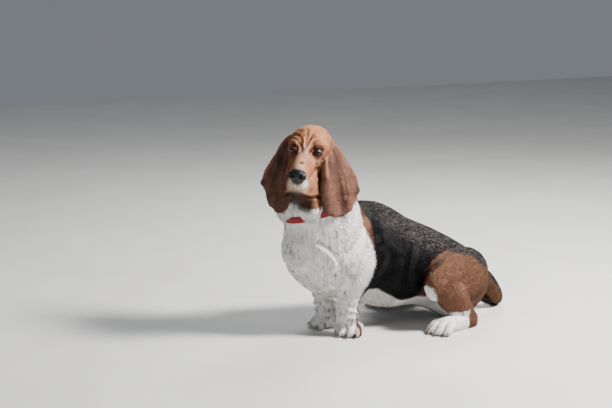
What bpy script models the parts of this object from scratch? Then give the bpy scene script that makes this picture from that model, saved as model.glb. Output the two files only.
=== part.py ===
"""A life-size basset hound, sitting with its head turned to its left, in metres with Z up.

The flesh is one skin, parted by thin cuts into the head, neck, torso, tail, legs and paws. The ears, eyes,
nose, claws and collar are solids of their own, each seated in the flesh with a thin gap.
"""

import math

import bmesh
import bpy
import numpy as np
from mathutils import Matrix, Vector
from mathutils.bvhtree import BVHTree

for leftover in list(bpy.data.objects):
    bpy.data.objects.remove(leftover)

DOG = bpy.data.collections.new("basset_hound")
HELPERS = bpy.data.collections.new("helpers")
for collection in (DOG, HELPERS):
    bpy.context.scene.collection.children.link(collection)
HELPERS.hide_render = True


def at(forward, left, up):
    """A point by the dog's own directions: it faces -Y, and its left side is +X."""
    return Vector((left, -forward, up))


EYES_MIDDLE = at(0.208, 0.070, 0.525)
HEAD_YAW = math.radians(51)
HEAD_PITCH = math.radians(10)
HEAD_ROLL = math.radians(-7)
HEAD = (
    Matrix.Translation(EYES_MIDDLE)
    @ Matrix.Rotation(HEAD_YAW, 4, "Z")
    @ Matrix(((0, 1, 0, 0), (-1, 0, 0, 0), (0, 0, 1, 0), (0, 0, 0, 1)))
    @ Matrix.Rotation(HEAD_PITCH, 4, "Y")
    @ Matrix.Rotation(HEAD_ROLL, 4, "X")
)
HEAD_TURN = HEAD.to_3x3().to_4x4()
HEAD_LEFT = HEAD_TURN @ Vector((0, 1, 0))
LEFT_SIDE = Vector((1, 0, 0))


def in_head(forward, left, up):
    """A point by the head's own directions, from the middle between the eyes."""
    return HEAD @ Vector((forward, left, up))


def spline(rows, steps):
    """Catmull-Rom through the rows, with steps between two of them."""
    rows = np.array(rows, float)
    ends = np.vstack([2 * rows[0] - rows[1], rows, 2 * rows[-1] - rows[-2]])
    out = []
    for i in range(len(rows) - 1):
        p0, p1, p2, p3 = ends[i : i + 4]
        for t in np.arange(steps) / steps:
            square = 2 * p0 - 5 * p1 + 4 * p2 - p3
            cube = 3 * p1 - p0 - 3 * p2 + p3
            out.append(0.5 * (2 * p1 + (p2 - p0) * t + square * t**2 + cube * t**3))
    out.append(rows[-1])
    return np.array(out)


def mesh_object(name, bm):
    bmesh.ops.recalc_face_normals(bm, faces=bm.faces)
    mesh = bpy.data.meshes.new(name)
    bm.to_mesh(mesh)
    bm.free()
    obj = bpy.data.objects.new(name, mesh)
    HELPERS.objects.link(obj)
    return obj


def loft(name, stations, side, steps=5, sides=28, dome=(26, 52, 75)):
    """A closed form through stations of (centre, half width, height above, height below), with domed ends.

    Above is the way of side x path: up for a path that runs back, and back for one that runs down."""
    rows = spline([(*c, w, a, b) for c, w, a, b in stations], steps)
    centres, sizes = rows[:, :3], np.maximum(rows[:, 3:], 0.0004)
    tangents = np.gradient(centres, axis=0)
    tangents /= np.linalg.norm(tangents, axis=1)[:, None]
    rings = list(zip(centres, sizes, tangents))
    tips = []
    for end, way in ((0, -1), (-1, 1)):
        reach = way * tangents[end] * sizes[end].min() * 0.9
        cap = [
            (centres[end] + reach * math.sin(a), sizes[end] * math.cos(a), tangents[end])
            for a in (math.radians(angle) for angle in dome)
        ]
        tips.append(centres[end] + reach)
        rings = cap[::-1] + rings if end == 0 else rings + cap
    side = np.array(side, float)
    bm = bmesh.new()
    loops = []
    for centre, (width, above, below), tangent in rings:
        across = side - tangent * (side @ tangent)
        across /= np.linalg.norm(across)
        upward = np.cross(across, tangent)
        loop = []
        for k in range(sides):
            a = 2 * math.pi * k / sides
            height = above if math.sin(a) > 0 else below
            reach = across * width * math.cos(a) + upward * height * math.sin(a)
            loop.append(bm.verts.new(centre + reach))
        loops.append(loop)
    for one, two in zip(loops, loops[1:]):
        for k in range(sides):
            m = (k + 1) % sides
            bm.faces.new((one[k], one[m], two[m], two[k]))
    for tip, loop in zip(tips, (loops[0], loops[-1])):
        point = bm.verts.new(tip)
        for k in range(sides):
            bm.faces.new((loop[k], loop[(k + 1) % sides], point))
    return mesh_object(name, bm)


def ball(name, centre, radii, turn=None, fine=28):
    bm = bmesh.new()
    bmesh.ops.create_uvsphere(bm, u_segments=fine, v_segments=fine * 2 // 3, radius=1.0)
    matrix = Matrix.Translation(centre) @ (turn or Matrix()) @ Matrix.Diagonal((*radii, 1))
    bmesh.ops.transform(bm, matrix=matrix, verts=bm.verts)
    return mesh_object(name, bm)


def head_ball(name, centre, radii, fine=28):
    return ball(name, in_head(*centre), radii, HEAD_TURN, fine)


def joined(name, objects):
    bm = bmesh.new()
    for obj in objects:
        bm.from_mesh(obj.data)
        bpy.data.objects.remove(obj)
    return mesh_object(name, bm)


def bake(obj):
    """Replaces the object's mesh by what its modifiers make of it."""
    graph = bpy.context.evaluated_depsgraph_get()
    mesh = bpy.data.meshes.new_from_object(obj.evaluated_get(graph))
    obj.modifiers.clear()
    obj.data = mesh


# forward, left and up of the middle, then half width, height above and height below
TORSO = (
    (0.214, 0.032, 0.252, 0.056, 0.045, 0.055),
    (0.182, 0.028, 0.241, 0.094, 0.085, 0.088),
    (0.105, 0.014, 0.222, 0.114, 0.128, 0.122),
    (0.000, 0.003, 0.208, 0.117, 0.153, 0.138),
    (-0.100, 0.000, 0.180, 0.120, 0.130, 0.138),
    (-0.190, 0.000, 0.154, 0.115, 0.116, 0.114),
    (-0.280, 0.004, 0.124, 0.101, 0.098, 0.118),
    (-0.330, 0.010, 0.100, 0.084, 0.081, 0.118),
    (-0.362, 0.013, 0.082, 0.056, 0.048, 0.096),
)
# the same, where above is the front and below the back
NECK = (
    (0.108, 0.020, 0.235, 0.108, 0.132, 0.100),
    (0.122, 0.028, 0.300, 0.102, 0.130, 0.102),
    (0.134, 0.034, 0.355, 0.090, 0.120, 0.096),
    (0.138, 0.038, 0.410, 0.077, 0.098, 0.080),
    (0.146, 0.034, 0.455, 0.064, 0.068, 0.064),
    (0.158, 0.030, 0.485, 0.050, 0.050, 0.050),
)
# forward and up in the head, then half width, height above and height below
SKULL = (
    (0.101, -0.041, 0.024, 0.020, 0.030),
    (0.084, -0.037, 0.029, 0.026, 0.038),
    (0.060, -0.031, 0.032, 0.029, 0.046),
    (0.034, -0.023, 0.036, 0.030, 0.054),
    (0.010, -0.012, 0.046, 0.033, 0.060),
    (-0.015, -0.004, 0.057, 0.042, 0.066),
    (-0.045, 0.000, 0.061, 0.050, 0.070),
    (-0.075, 0.002, 0.055, 0.046, 0.060),
    (-0.100, 0.000, 0.040, 0.036, 0.045),
    (-0.116, -0.010, 0.024, 0.026, 0.030),
)
JAW = (
    (0.088, -0.099, 0.020, 0.019, 0.019),
    (0.066, -0.106, 0.029, 0.024, 0.022),
    (0.030, -0.105, 0.037, 0.030, 0.027),
    (-0.015, -0.088, 0.045, 0.038, 0.038),
    (-0.050, -0.062, 0.050, 0.040, 0.040),
)
# forward, left and up in the head, then half width, height above and height below
FLEW = (
    (0.104, 0.011, -0.064, 0.012, 0.018, 0.019),
    (0.086, 0.018, -0.072, 0.0135, 0.026, 0.028),
    (0.062, 0.0245, -0.080, 0.0145, 0.030, 0.033),
    (0.034, 0.030, -0.082, 0.0145, 0.032, 0.034),
    (0.006, 0.035, -0.072, 0.012, 0.028, 0.030),
)
# the throat's hanging folds, over the collar: forward, left, up, half width, back, front
DEWLAPS = (
    (
        (0.205, 0.090, 0.440, 0.028, 0.026, 0.028),
        (0.212, 0.098, 0.402, 0.032, 0.030, 0.031),
        (0.214, 0.099, 0.372, 0.036, 0.031, 0.034),
        (0.208, 0.094, 0.357, 0.031, 0.027, 0.029),
    ),
    (
        (0.225, 0.060, 0.430, 0.030, 0.026, 0.028),
        (0.236, 0.044, 0.396, 0.034, 0.030, 0.031),
        (0.238, 0.034, 0.370, 0.034, 0.029, 0.031),
        (0.232, 0.028, 0.356, 0.028, 0.024, 0.026),
    ),
    (
        (0.214, 0.016, 0.430, 0.030, 0.026, 0.026),
        (0.222, 0.004, 0.396, 0.034, 0.030, 0.030),
        (0.222, -0.006, 0.370, 0.034, 0.029, 0.030),
        (0.216, -0.010, 0.356, 0.028, 0.024, 0.025),
    ),
)
# the fold that lies on the collar's upper edge in front: forward, left, up and radius
THROAT_FOLD = (
    (0.205, -0.052, 0.350, 0.015),
    (0.234, -0.022, 0.345, 0.019),
    (0.247, 0.010, 0.345, 0.020),
    (0.247, 0.042, 0.353, 0.018),
    (0.232, 0.074, 0.362, 0.016),
)
# forward, left, up, half width, back, front
FORELEG = {
    1: (
        (0.030, 0.070, 0.290, 0.045, 0.060, 0.060),
        (0.070, 0.092, 0.220, 0.052, 0.070, 0.068),
        (0.072, 0.100, 0.165, 0.042, 0.048, 0.046),
        (0.088, 0.094, 0.125, 0.033, 0.035, 0.034),
        (0.092, 0.087, 0.080, 0.029, 0.030, 0.030),
        (0.086, 0.081, 0.048, 0.028, 0.027, 0.028),
        (0.080, 0.078, 0.026, 0.028, 0.026, 0.028),
    ),
    -1: (
        (0.030, -0.060, 0.290, 0.045, 0.060, 0.060),
        (0.080, -0.080, 0.220, 0.050, 0.066, 0.066),
        (0.088, -0.074, 0.165, 0.042, 0.046, 0.044),
        (0.100, -0.054, 0.125, 0.034, 0.035, 0.034),
        (0.102, -0.036, 0.080, 0.029, 0.029, 0.029),
        (0.099, -0.030, 0.048, 0.028, 0.027, 0.028),
        (0.095, -0.028, 0.026, 0.027, 0.026, 0.027),
    ),
}
THIGH = (
    (-0.140, 0.163, 0.122, 0.028, 0.040, 0.034),
    (-0.175, 0.146, 0.135, 0.044, 0.062, 0.058),
    (-0.230, 0.118, 0.138, 0.054, 0.084, 0.080),
    (-0.285, 0.088, 0.128, 0.060, 0.089, 0.086),
    (-0.325, 0.055, 0.110, 0.056, 0.074, 0.080),
)
SHANK = (
    (-0.165, 0.158, 0.140, 0.034, 0.045, 0.036),
    (-0.190, 0.162, 0.095, 0.036, 0.060, 0.036),
    (-0.225, 0.160, 0.062, 0.028, 0.046, 0.030),
    (-0.264, 0.152, 0.036, 0.020, 0.022, 0.022),
)
METATARSUS = (
    (-0.160, 0.182, 0.022, 0.028, 0.022, 0.026),
    (-0.200, 0.170, 0.024, 0.024, 0.024, 0.030),
    (-0.250, 0.157, 0.024, 0.021, 0.023, 0.034),
    (-0.276, 0.150, 0.026, 0.018, 0.021, 0.036),
)
TAIL = (
    (-0.350, 0.012, 0.122, 0.030, 0.030, 0.030),
    (-0.395, 0.012, 0.106, 0.027, 0.027, 0.027),
    (-0.430, 0.008, 0.074, 0.024, 0.024, 0.024),
    (-0.460, -0.006, 0.038, 0.021, 0.021, 0.021),
    (-0.480, -0.038, 0.017, 0.018, 0.018, 0.018),
    (-0.480, -0.084, 0.013, 0.0155, 0.0155, 0.0155),
    (-0.458, -0.128, 0.010, 0.012, 0.012, 0.012),
)
# the paw's middle, forward and left, how far its toes turn to the dog's left in degrees, and its scale
FORE_PAWS = {1: (0.082, 0.084, 36, 0.90), -1: (0.107, -0.030, -16, 0.90)}
HIND_PAWS = {1: (-0.158, 0.184, 12, 0.92), -1: (-0.158, -0.178, -12, 0.92)}
# how far each toe sits to the left of the paw's middle, and forward of it
TOES = ((0.030, -0.004), (0.0115, 0.010), (-0.0115, 0.010), (-0.030, -0.004))


def paw_place(forward, left, turn, scale):
    """From the paw's own forward, left and up to the room."""
    return (
        Matrix.Translation(at(forward, left, 0))
        @ Matrix.Rotation(math.radians(turn - 90), 4, "Z")
        @ Matrix.Scale(scale, 4)
    )


def paw_forms(name, paw):
    """Four toes, the outer two set back, over one pad."""
    place, scale = paw_place(*paw), paw[3]
    turn = place.to_3x3().normalized().to_4x4()
    across = turn @ Vector((0, -1, 0))
    pad = [r * scale for r in (0.034, 0.033, 0.022)]
    forms = [ball(name + "_pad", place @ Vector((-0.008, 0, 0.020)), pad, turn)]
    for y, x in TOES:
        toe = (
            ((x - 0.014, y * 0.82, 0.030), 0.0115, 0.0110, 0.0160),
            ((x + 0.006, y, 0.027), 0.0130, 0.0135, 0.0180),
            ((x + 0.020, y * 1.18, 0.015), 0.0120, 0.0120, 0.0160),
        )
        toe = [(place @ Vector(c), *(r * scale for r in sizes)) for c, *sizes in toe]
        forms.append(loft(name + "_toe", toe, across))
    return forms


def body_loft(name, rows, side=1):
    return loft(name, [(at(f, side * l, u), w, a, b) for f, l, u, w, a, b in rows], LEFT_SIDE)


def body_forms():
    forms = [body_loft("torso", TORSO), body_loft("neck", NECK), body_loft("tail", TAIL)]
    forms += [body_loft("dewlap", rows) for rows in DEWLAPS]
    fold = [(at(*place), radius, radius, radius) for *place, radius in THROAT_FOLD]
    forms.append(loft("throat_fold", fold, Vector((0, 0, 1))))
    for name, rows in (("skull", SKULL), ("jaw", JAW)):
        rows = [(in_head(x, 0, z), w, a, b) for x, z, w, a, b in rows]
        forms.append(loft(name, rows, HEAD_LEFT))
    forms.append(head_ball("lip", (0.102, 0.000, -0.070), (0.015, 0.018, 0.021)))
    for side in (1, -1):
        flew = [(in_head(x, side * y, z), w, a, b) for x, y, z, w, a, b in FLEW]
        forms.append(loft("flew", flew, HEAD_LEFT))
        forms.append(head_ball("brow", (0.000, side * 0.032, 0.018), (0.025, 0.019, 0.014)))
        forms.append(head_ball("cheek", (-0.030, side * 0.038, -0.034), (0.046, 0.026, 0.040)))
        forms.append(head_ball("lip_fold", (0.034, side * 0.030, -0.118), (0.022, 0.009, 0.018)))
        forms.append(body_loft("foreleg", FORELEG[side]))
        for name, rows in (("thigh", THIGH), ("shank", SHANK), ("metatarsus", METATARSUS)):
            forms.append(body_loft(name, rows, side))
        forms += paw_forms("forepaw", FORE_PAWS[side])
        forms += paw_forms("hindpaw", HIND_PAWS[side])
    return forms


EYE_PLACE = (0.0200, 0.0310, 0.0035)
EYE_RADIUS = 0.0122
# the way an eye looks, out from straight ahead, in degrees
EYE_OUT = 22


def eye_place(side):
    """From the eye's own forward, left and up to the room."""
    return (
        HEAD
        @ Matrix.Translation((EYE_PLACE[0], side * EYE_PLACE[1], EYE_PLACE[2]))
        @ Matrix.Rotation(math.radians(side * EYE_OUT), 4, "Z")
    )


# along a lid from the inner corner: out and up of the eye's front in degrees
UPPER_LID = ((-70, -12), (-46, 16), (-10, 32), (30, 18), (68, -24))
LOWER_LID = ((-70, -12), (-42, -42), (-4, -57), (36, -54), (68, -24))
LID_SIZES = {"upper": 0.0027, "lower": 0.0019}


def lid_forms(side):
    """Two rolled edges over the eye, the lower one hanging."""
    place = eye_place(side)
    forms = []
    for name, lid in (("upper", UPPER_LID), ("lower", LOWER_LID)):
        size = LID_SIZES[name]
        stations = []
        for k, (out, up) in enumerate(lid):
            a, e = math.radians(side * out), math.radians(up)
            reach = EYE_RADIUS + 0.0014
            point = Vector((math.cos(a) * math.cos(e), math.sin(a) * math.cos(e), math.sin(e)))
            thick = size * (0.75 if k in (0, len(lid) - 1) else 1.0)
            stations.append((place @ (point * reach), thick, thick, thick))
        forms.append(loft(name + "_lid", stations, place.to_3x3() @ Vector((1, 0, 0)), 2, 8, (45,)))
    return forms


NOSE = (
    ((0.1080, 0.0, -0.0345), (0.0170, 0.0222, 0.0160)),
    ((0.1120, 0.0125, -0.0360), (0.0120, 0.0115, 0.0125)),
    ((0.1120, -0.0125, -0.0360), (0.0120, 0.0115, 0.0125)),
    ((0.1100, 0.0, -0.0470), (0.0115, 0.0120, 0.0110)),
)
NOSTRILS = (
    ((0.1255, 0.0105, -0.0355), (0.0085, 0.0042, 0.0044)),
    ((0.1180, 0.0185, -0.0385), (0.0080, 0.0068, 0.0020)),
)

EAR_ROOT = (-0.046, 0.058, 0.002)
EAR_THICKNESS = 0.0045
# how far each leather hangs at its longest
EAR_LENGTHS = {1: 0.212, -1: 0.210}
# how far each is turned back in degrees, beside EAR_WIDTHS
EAR_TURN = {1: 5, -1: -6}
# how much farther out each hangs lower down
EAR_SWING = {1: 0.0, -1: -0.012}
# across the ear from its front edge: the share of that length which the leather has there
EAR_ENDS = {
    1: ((0.0, 0.91), (0.10, 0.97), (0.30, 1.00), (0.50, 0.99), (0.72, 0.93), (0.88, 0.81), (1.0, 0.69)),
    -1: ((0.0, 0.96), (0.08, 1.02), (0.20, 1.03), (0.42, 1.03), (0.58, 0.98), (0.68, 0.88), (1.0, 0.70)),
}
# how far out from the root, and how far below it, the ear's front part hangs
EAR_HANG = (
    (-0.030, -0.002),
    (-0.014, -0.004),
    (-0.002, 0.000),
    (0.005, 0.018),
    (0.009, 0.060),
    (0.011, 0.110),
    (0.020, 0.160),
    (0.031, 0.205),
    (0.038, 0.245),
)
# how much higher and farther in the ear's rear edge is rooted, and how far down this evens out
EAR_RISE = 0.022
EAR_TUCK = 0.022
EAR_RISE_END = 0.11
# how far down the ear, its width, how far forward of the root its front edge is, and how its cut turns back
EAR_WIDTHS = (
    (0.00, 0.054, 0.024, 48),
    (0.03, 0.066, 0.032, 45),
    (0.07, 0.098, 0.052, 42),
    (0.11, 0.130, 0.074, 40),
    (0.15, 0.145, 0.088, 40),
    (0.20, 0.146, 0.090, 42),
    (0.26, 0.142, 0.088, 46),
)
# across the ear from its front edge: the share of the width, and the turn there in degrees
EAR_CURL = ((0.0, -76), (0.08, -34), (0.20, 16), (0.40, 30), (0.56, -30), (0.72, 32), (0.88, 6), (1.0, -34))


def ear_points(side, rows, columns):
    """A curled leather. Each column hangs from the root to its own length, which shapes the tip."""
    root = in_head(EAR_ROOT[0], side * EAR_ROOT[1], EAR_ROOT[2])
    out = HEAD_TURN @ Vector((0, side, 0))
    back = HEAD_TURN @ Vector((-1, 0, 0))
    for way in (out, back):
        way.z = 0
        way.normalize()
    down = Vector((0, 0, -1))
    hang = spline(EAR_HANG, 12)
    run = np.concatenate([[0], np.cumsum(np.linalg.norm(np.diff(hang, axis=0), axis=1))])
    widths = np.array(EAR_WIDTHS)
    curl = np.array(EAR_CURL)
    ends = np.array(EAR_ENDS[side])
    steps = (np.arange(48) + 0.5) / 48
    points = np.zeros((rows + 1, columns + 1, 3))
    for i in range(rows + 1):
        for j in range(columns + 1):
            v = j / columns
            d = EAR_LENGTHS[side] * np.interp(v, ends[:, 0], ends[:, 1]) * i / rows
            width, front, turn = (np.interp(d, widths[:, 0], widths[:, k]) for k in (1, 2, 3))
            fold = np.clip((d - 0.01) / 0.06, 0.35, 1)
            angles = np.radians(turn + EAR_TURN[side] + fold * np.interp(steps, curl[:, 0], curl[:, 1]))
            upto = np.clip(v * 48 - np.arange(48), 0, 1) * width / 48
            x = (np.cos(angles) * upto).sum()
            y = (np.sin(angles) * upto).sum()
            o = np.interp(d, run, hang[:, 0]) + EAR_SWING[side] * min(d / 0.1, 1)
            even = max(0.0, 1 - d / EAR_RISE_END)
            z = np.interp(d, run, hang[:, 1]) - EAR_RISE * v * even * even
            tuck = EAR_TUCK * v * even * even + 0.025
            points[i, j] = root + out * (o + x - tuck) + back * (y - front) + down * z
    return points


def sheet_object(name, points, thickness):
    """A leather of one thickness over a grid of points, thinner at its rim."""
    rows, columns = points.shape[0] - 1, points.shape[1] - 1
    normals = np.cross(np.gradient(points, axis=0), np.gradient(points, axis=1))
    normals /= np.linalg.norm(normals, axis=2)[:, :, None]
    half = np.full((rows + 1, columns + 1, 1), thickness / 2)
    half[-1] = half[:, 0] = half[:, -1] = thickness * 0.3
    bm = bmesh.new()
    a, b = (
        [[bm.verts.new(p) for p in row] for row in points + s * half * normals] for s in (1, -1)
    )
    for i in range(rows):
        for j in range(columns):
            for g in (a, b):
                bm.faces.new((g[i][j], g[i + 1][j], g[i + 1][j + 1]))
                bm.faces.new((g[i][j], g[i + 1][j + 1], g[i][j + 1]))
    rim = [(0, j) for j in range(columns)] + [(i, columns) for i in range(rows)]
    rim += [(rows, j) for j in range(columns, 0, -1)] + [(i, 0) for i in range(rows, 0, -1)]
    for (i, j), (k, m) in zip(rim, rim[1:] + rim[:1]):
        bm.faces.new((a[i][j], a[k][m], b[k][m]))
        bm.faces.new((a[i][j], b[k][m], b[i][j]))
    return mesh_object(name, bm)


CLAW = (
    ((0.024, 0.0155), 0.0044),
    ((0.030, 0.0148), 0.0040),
    ((0.035, 0.0118), 0.0031),
    ((0.0385, 0.0075), 0.0016),
)


def claws(name, paw, grow=0.0):
    """A curved claw on each toe, with its four objects."""
    place, scale = paw_place(*paw), paw[3]
    across = place.to_3x3() @ Vector((0, -1, 0))
    made = []
    for k, (y, x) in enumerate(TOES):
        row = [
            (place @ Vector((x + c[0], y * (1.18 + 8 * (c[0] - 0.024)), c[1])), r * scale * 0.85 + grow)
            for c, r in CLAW
        ]
        row = [(c, r, r * 1.15, r * 1.15) for c, r in row]
        made.append(loft(f"{name}_claw_{k + 1}", row, across, 1, 6, (45,)))
    return made


def arrays_of(obj):
    count = len(obj.data.vertices)
    places, normals = np.zeros(count * 3), np.zeros(count * 3)
    obj.data.vertices.foreach_get("co", places)
    obj.data.vertices.foreach_get("normal", normals)
    return places.reshape(-1, 3), normals.reshape(-1, 3)


def set_places(obj, places):
    obj.data.vertices.foreach_set("co", places.ravel())
    obj.data.update()


def to_head(places):
    return (places - np.array(HEAD.translation)) @ np.array(HEAD.to_3x3())


def softness(places):
    """How much each point is smoothed: fully on the trunk, less on the head, least at the lids and paws."""
    local = to_head(places)
    head = np.clip((local[:, 0] + local[:, 2] + 0.13) / 0.05, 0, 1) * (places[:, 2] > 0.36)
    amount = 1 - 0.62 * head
    for side in (1, -1):
        d = np.linalg.norm(local - np.array((EYE_PLACE[0], side * EYE_PLACE[1], EYE_PLACE[2])), axis=1)
        amount *= np.clip((d - 0.014) / 0.014, 0.06, 1)
    amount *= 1 - 0.5 * np.clip((0.14 - places[:, 2]) / 0.06, 0, 1)
    low = np.clip((0.080 - places[:, 2]) / 0.03, 0, 1)
    for forward, left, _, _ in (*FORE_PAWS.values(), *HIND_PAWS.values()):
        d = np.linalg.norm(places[:, :2] - np.array(at(forward, left, 0))[:2], axis=1)
        amount *= 1 - 0.93 * low * np.clip((0.080 - d) / 0.02, 0, 1)
    return amount


def soften(obj, rounds):
    group = obj.vertex_groups.new(name="flesh")
    levels = np.ceil(softness(arrays_of(obj)[0]) * 20).astype(int)
    for level in range(1, 21):
        group.add(np.nonzero(levels == level)[0].tolist(), level / 20, "REPLACE")
    modifier = obj.modifiers.new("soften", "SMOOTH")
    modifier.factor = 0.5
    modifier.iterations = rounds
    modifier.vertex_group = "flesh"
    bake(obj)
    obj.vertex_groups.clear()


def distance_to(points, path):
    best = np.full(len(points), 1.0)
    for a, b in zip(path, path[1:]):
        ab = b - a
        t = np.clip(((points - a) @ ab) / max(ab @ ab, 1e-12), 0, 1)
        best = np.minimum(best, np.linalg.norm(points - (a + t[:, None] * ab), axis=1))
    return best


def sculpt(obj, strokes):
    """A stroke raises the surface along its path, or presses it in, by a height over a half width."""
    places, normals = arrays_of(obj)
    tree = BVHTree.FromObject(obj, bpy.context.evaluated_depsgraph_get())
    for path, width, height in strokes:
        path = np.array([tree.find_nearest(Vector(p))[0] for p in spline(path, 5)])
        reach = 2.6 * width
        inside = (places > path.min(0) - reach) & (places < path.max(0) + reach)
        near = np.nonzero(inside.all(axis=1))[0]
        fall = np.exp(-((distance_to(places[near], path) / width) ** 2))
        places[near] += normals[near] * (height * fall)[:, None]
    set_places(obj, places)


# along the lips from the middle to the corner of the mouth
LIPS = (
    (0.117, 0.000, -0.083),
    (0.110, 0.012, -0.089),
    (0.092, 0.024, -0.099),
    (0.064, 0.034, -0.111),
    (0.036, 0.041, -0.113),
    (0.010, 0.046, -0.102),
)

# on the head's left side and mirrored: a path of forward, left and up, a half width and a height
FACE_STROKES = (
    # the socket and the folds over the eye
    (((0.036, 0.020, 0.004), (0.034, 0.030, -0.012), (0.028, 0.042, -0.004)), 0.009, -0.0030),
    (
        ((0.034, 0.015, -0.002), (0.030, 0.018, 0.013), (0.020, 0.030, 0.022), (0.008, 0.042, 0.015)),
        0.0036,
        0.0046,
    ),
    (
        ((0.034, 0.010, 0.006), (0.026, 0.014, 0.024), (0.012, 0.030, 0.036), (-0.006, 0.048, 0.026)),
        0.0036,
        -0.0034,
    ),
    (
        ((0.026, 0.006, 0.020), (0.010, 0.012, 0.036), (-0.012, 0.030, 0.044), (-0.032, 0.046, 0.034)),
        0.0040,
        0.0022,
    ),
    (((0.024, 0.003, 0.018), (0.000, 0.005, 0.038), (-0.030, 0.012, 0.050)), 0.0030, -0.0024),
    # loose skin down the cheek and under the eye
    (((0.038, 0.024, -0.010), (0.034, 0.036, -0.020), (0.024, 0.046, -0.014)), 0.0036, 0.0024),
    (((0.040, 0.028, -0.022), (0.036, 0.038, -0.042), (0.026, 0.044, -0.066)), 0.0042, -0.0024),
    (((0.028, 0.040, -0.022), (0.018, 0.046, -0.044), (0.012, 0.048, -0.070)), 0.0048, 0.0026),
    (((0.012, 0.048, -0.018), (0.002, 0.052, -0.044), (0.000, 0.052, -0.074)), 0.0042, -0.0022),
    (((0.070, 0.030, -0.040), (0.052, 0.036, -0.062), (0.036, 0.042, -0.090)), 0.0060, -0.0018),
    # the groove of the upper lip, and the line between the lips
    (((0.118, 0.000, -0.052), (0.118, 0.000, -0.064), (0.117, 0.000, -0.080)), 0.0024, -0.0020),
    (LIPS, 0.0034, -0.0046),
    (tuple((x + 0.002, y + 0.001, z + 0.010) for x, y, z in LIPS), 0.0048, 0.0028),
)
# forward, left and up of the whole dog
BODY_STROKES = (
    # the crease at the point of the shoulder and down the front of the foreleg
    (
        ((0.200, 0.118, 0.276), (0.172, 0.130, 0.258), (0.150, 0.134, 0.238), (0.138, 0.132, 0.214)),
        0.0060,
        -0.0060,
    ),
    (((0.190, 0.124, 0.262), (0.164, 0.132, 0.243), (0.150, 0.134, 0.222)), 0.0060, 0.0045),
    (((0.138, 0.130, 0.205), (0.146, 0.118, 0.165), (0.149, 0.110, 0.113)), 0.0070, -0.0040),
    # folds of the throat beside the dewlap
    (((0.240, 0.084, 0.415), (0.250, 0.070, 0.385), (0.248, 0.064, 0.350)), 0.0050, -0.0060),
    (((0.200, 0.128, 0.405), (0.196, 0.132, 0.372), (0.190, 0.130, 0.348)), 0.0080, -0.0040),
    (
        ((0.252, 0.022, 0.262), (0.214, 0.020, 0.187), (0.190, 0.020, 0.148), (0.165, 0.020, 0.110)),
        0.014,
        0.006,
    ),
    (((0.010, 0.150, 0.290), (-0.010, 0.145, 0.230), (0.010, 0.140, 0.175)), 0.012, -0.006),
    (((0.120, 0.140, 0.270), (0.105, 0.135, 0.225), (0.115, 0.125, 0.180)), 0.012, -0.004),
    (((0.024, 0.140, 0.200), (0.022, 0.135, 0.165)), 0.012, 0.005),
    (
        ((-0.105, 0.135, 0.240), (-0.085, 0.135, 0.180), (-0.095, 0.120, 0.110), (-0.130, 0.110, 0.070)),
        0.014,
        -0.006,
    ),
    (((-0.200, 0.150, 0.060), (-0.250, 0.130, 0.055), (-0.300, 0.110, 0.060)), 0.010, -0.005),
)
# down a foreleg: the height of each ring of loose skin over the wrist, and how far it stands out
WRIST_RINGS = ((0.096, 0.0014), (0.088, -0.0022), (0.079, 0.0018), (0.069, -0.0024), (0.058, 0.0014))
WRIST = 0.032


def all_strokes():
    strokes = []
    for side in (1, -1):
        for path, width, height in FACE_STROKES:
            strokes.append(([in_head(x, side * y, z) for x, y, z in path], width, height))
        for path, width, height in BODY_STROKES:
            strokes.append(([at(f, side * l, u) for f, l, u in path], width, height))
        leg = np.array(FORELEG[side])
        for up, height in WRIST_RINGS:
            middle = [np.interp(-up, -leg[:, 2], leg[:, k]) for k in (0, 1)]
            ring = [
                at(
                    middle[0] + WRIST * math.cos(a),
                    middle[1] + WRIST * math.sin(a),
                    up + 0.006 * math.sin(2 * a),
                )
                for a in np.linspace(0, 2 * math.pi, 9)
            ]
            strokes.append((ring, 0.0048, height))
    return strokes


def flesh_skin(voxel, extra=()):
    """The whole body in one closed skin, without the lids, nose, ears and claws."""
    skin = joined("flesh", body_forms() + list(extra))
    modifier = skin.modifiers.new("skin", "REMESH")
    modifier.mode = "VOXEL"
    modifier.voxel_size = voxel
    bake(skin)
    soften(skin, round(36 * (0.003 / voxel) ** 2))
    sculpt(skin, all_strokes())
    return skin


GAP = 0.0003
SKIN_VOXEL = 0.003
FINE_SHARE = 0.20
FLESH_TRIANGLES = 6500
NOSE_TRIANGLES = 380


def boolean(obj, other, operation, keep=False):
    """Cuts the object by the other one, or adds it, and keeps its largest closed surface."""
    modifier = obj.modifiers.new("boolean", "BOOLEAN")
    modifier.operation = operation
    modifier.object = other
    modifier.solver = "EXACT"
    bake(obj)
    if not keep:
        bpy.data.objects.remove(other)
    bm = bmesh.new()
    bm.from_mesh(obj.data)
    keep_largest(bm)
    bm.to_mesh(obj.data)
    bm.free()


def keep_largest(bm):
    left = set(bm.faces)
    best = []
    while left:
        stack = [left.pop()]
        shell = [stack[0]]
        while stack:
            for edge in stack.pop().edges:
                for face in edge.link_faces:
                    if face in left:
                        left.discard(face)
                        stack.append(face)
                        shell.append(face)
        if len(shell) > len(best):
            best = shell
    keep = set(best)
    bmesh.ops.delete(bm, geom=[f for f in bm.faces if f not in keep], context="FACES")


def copy_of(obj, name):
    twin = bpy.data.objects.new(name, obj.data.copy())
    HELPERS.objects.link(twin)
    return twin


def grown(obj, name, by):
    """A copy whose surface stands farther out by this much."""
    twin = copy_of(obj, name)
    places, normals = arrays_of(twin)
    set_places(twin, places + by * normals)
    return twin


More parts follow.
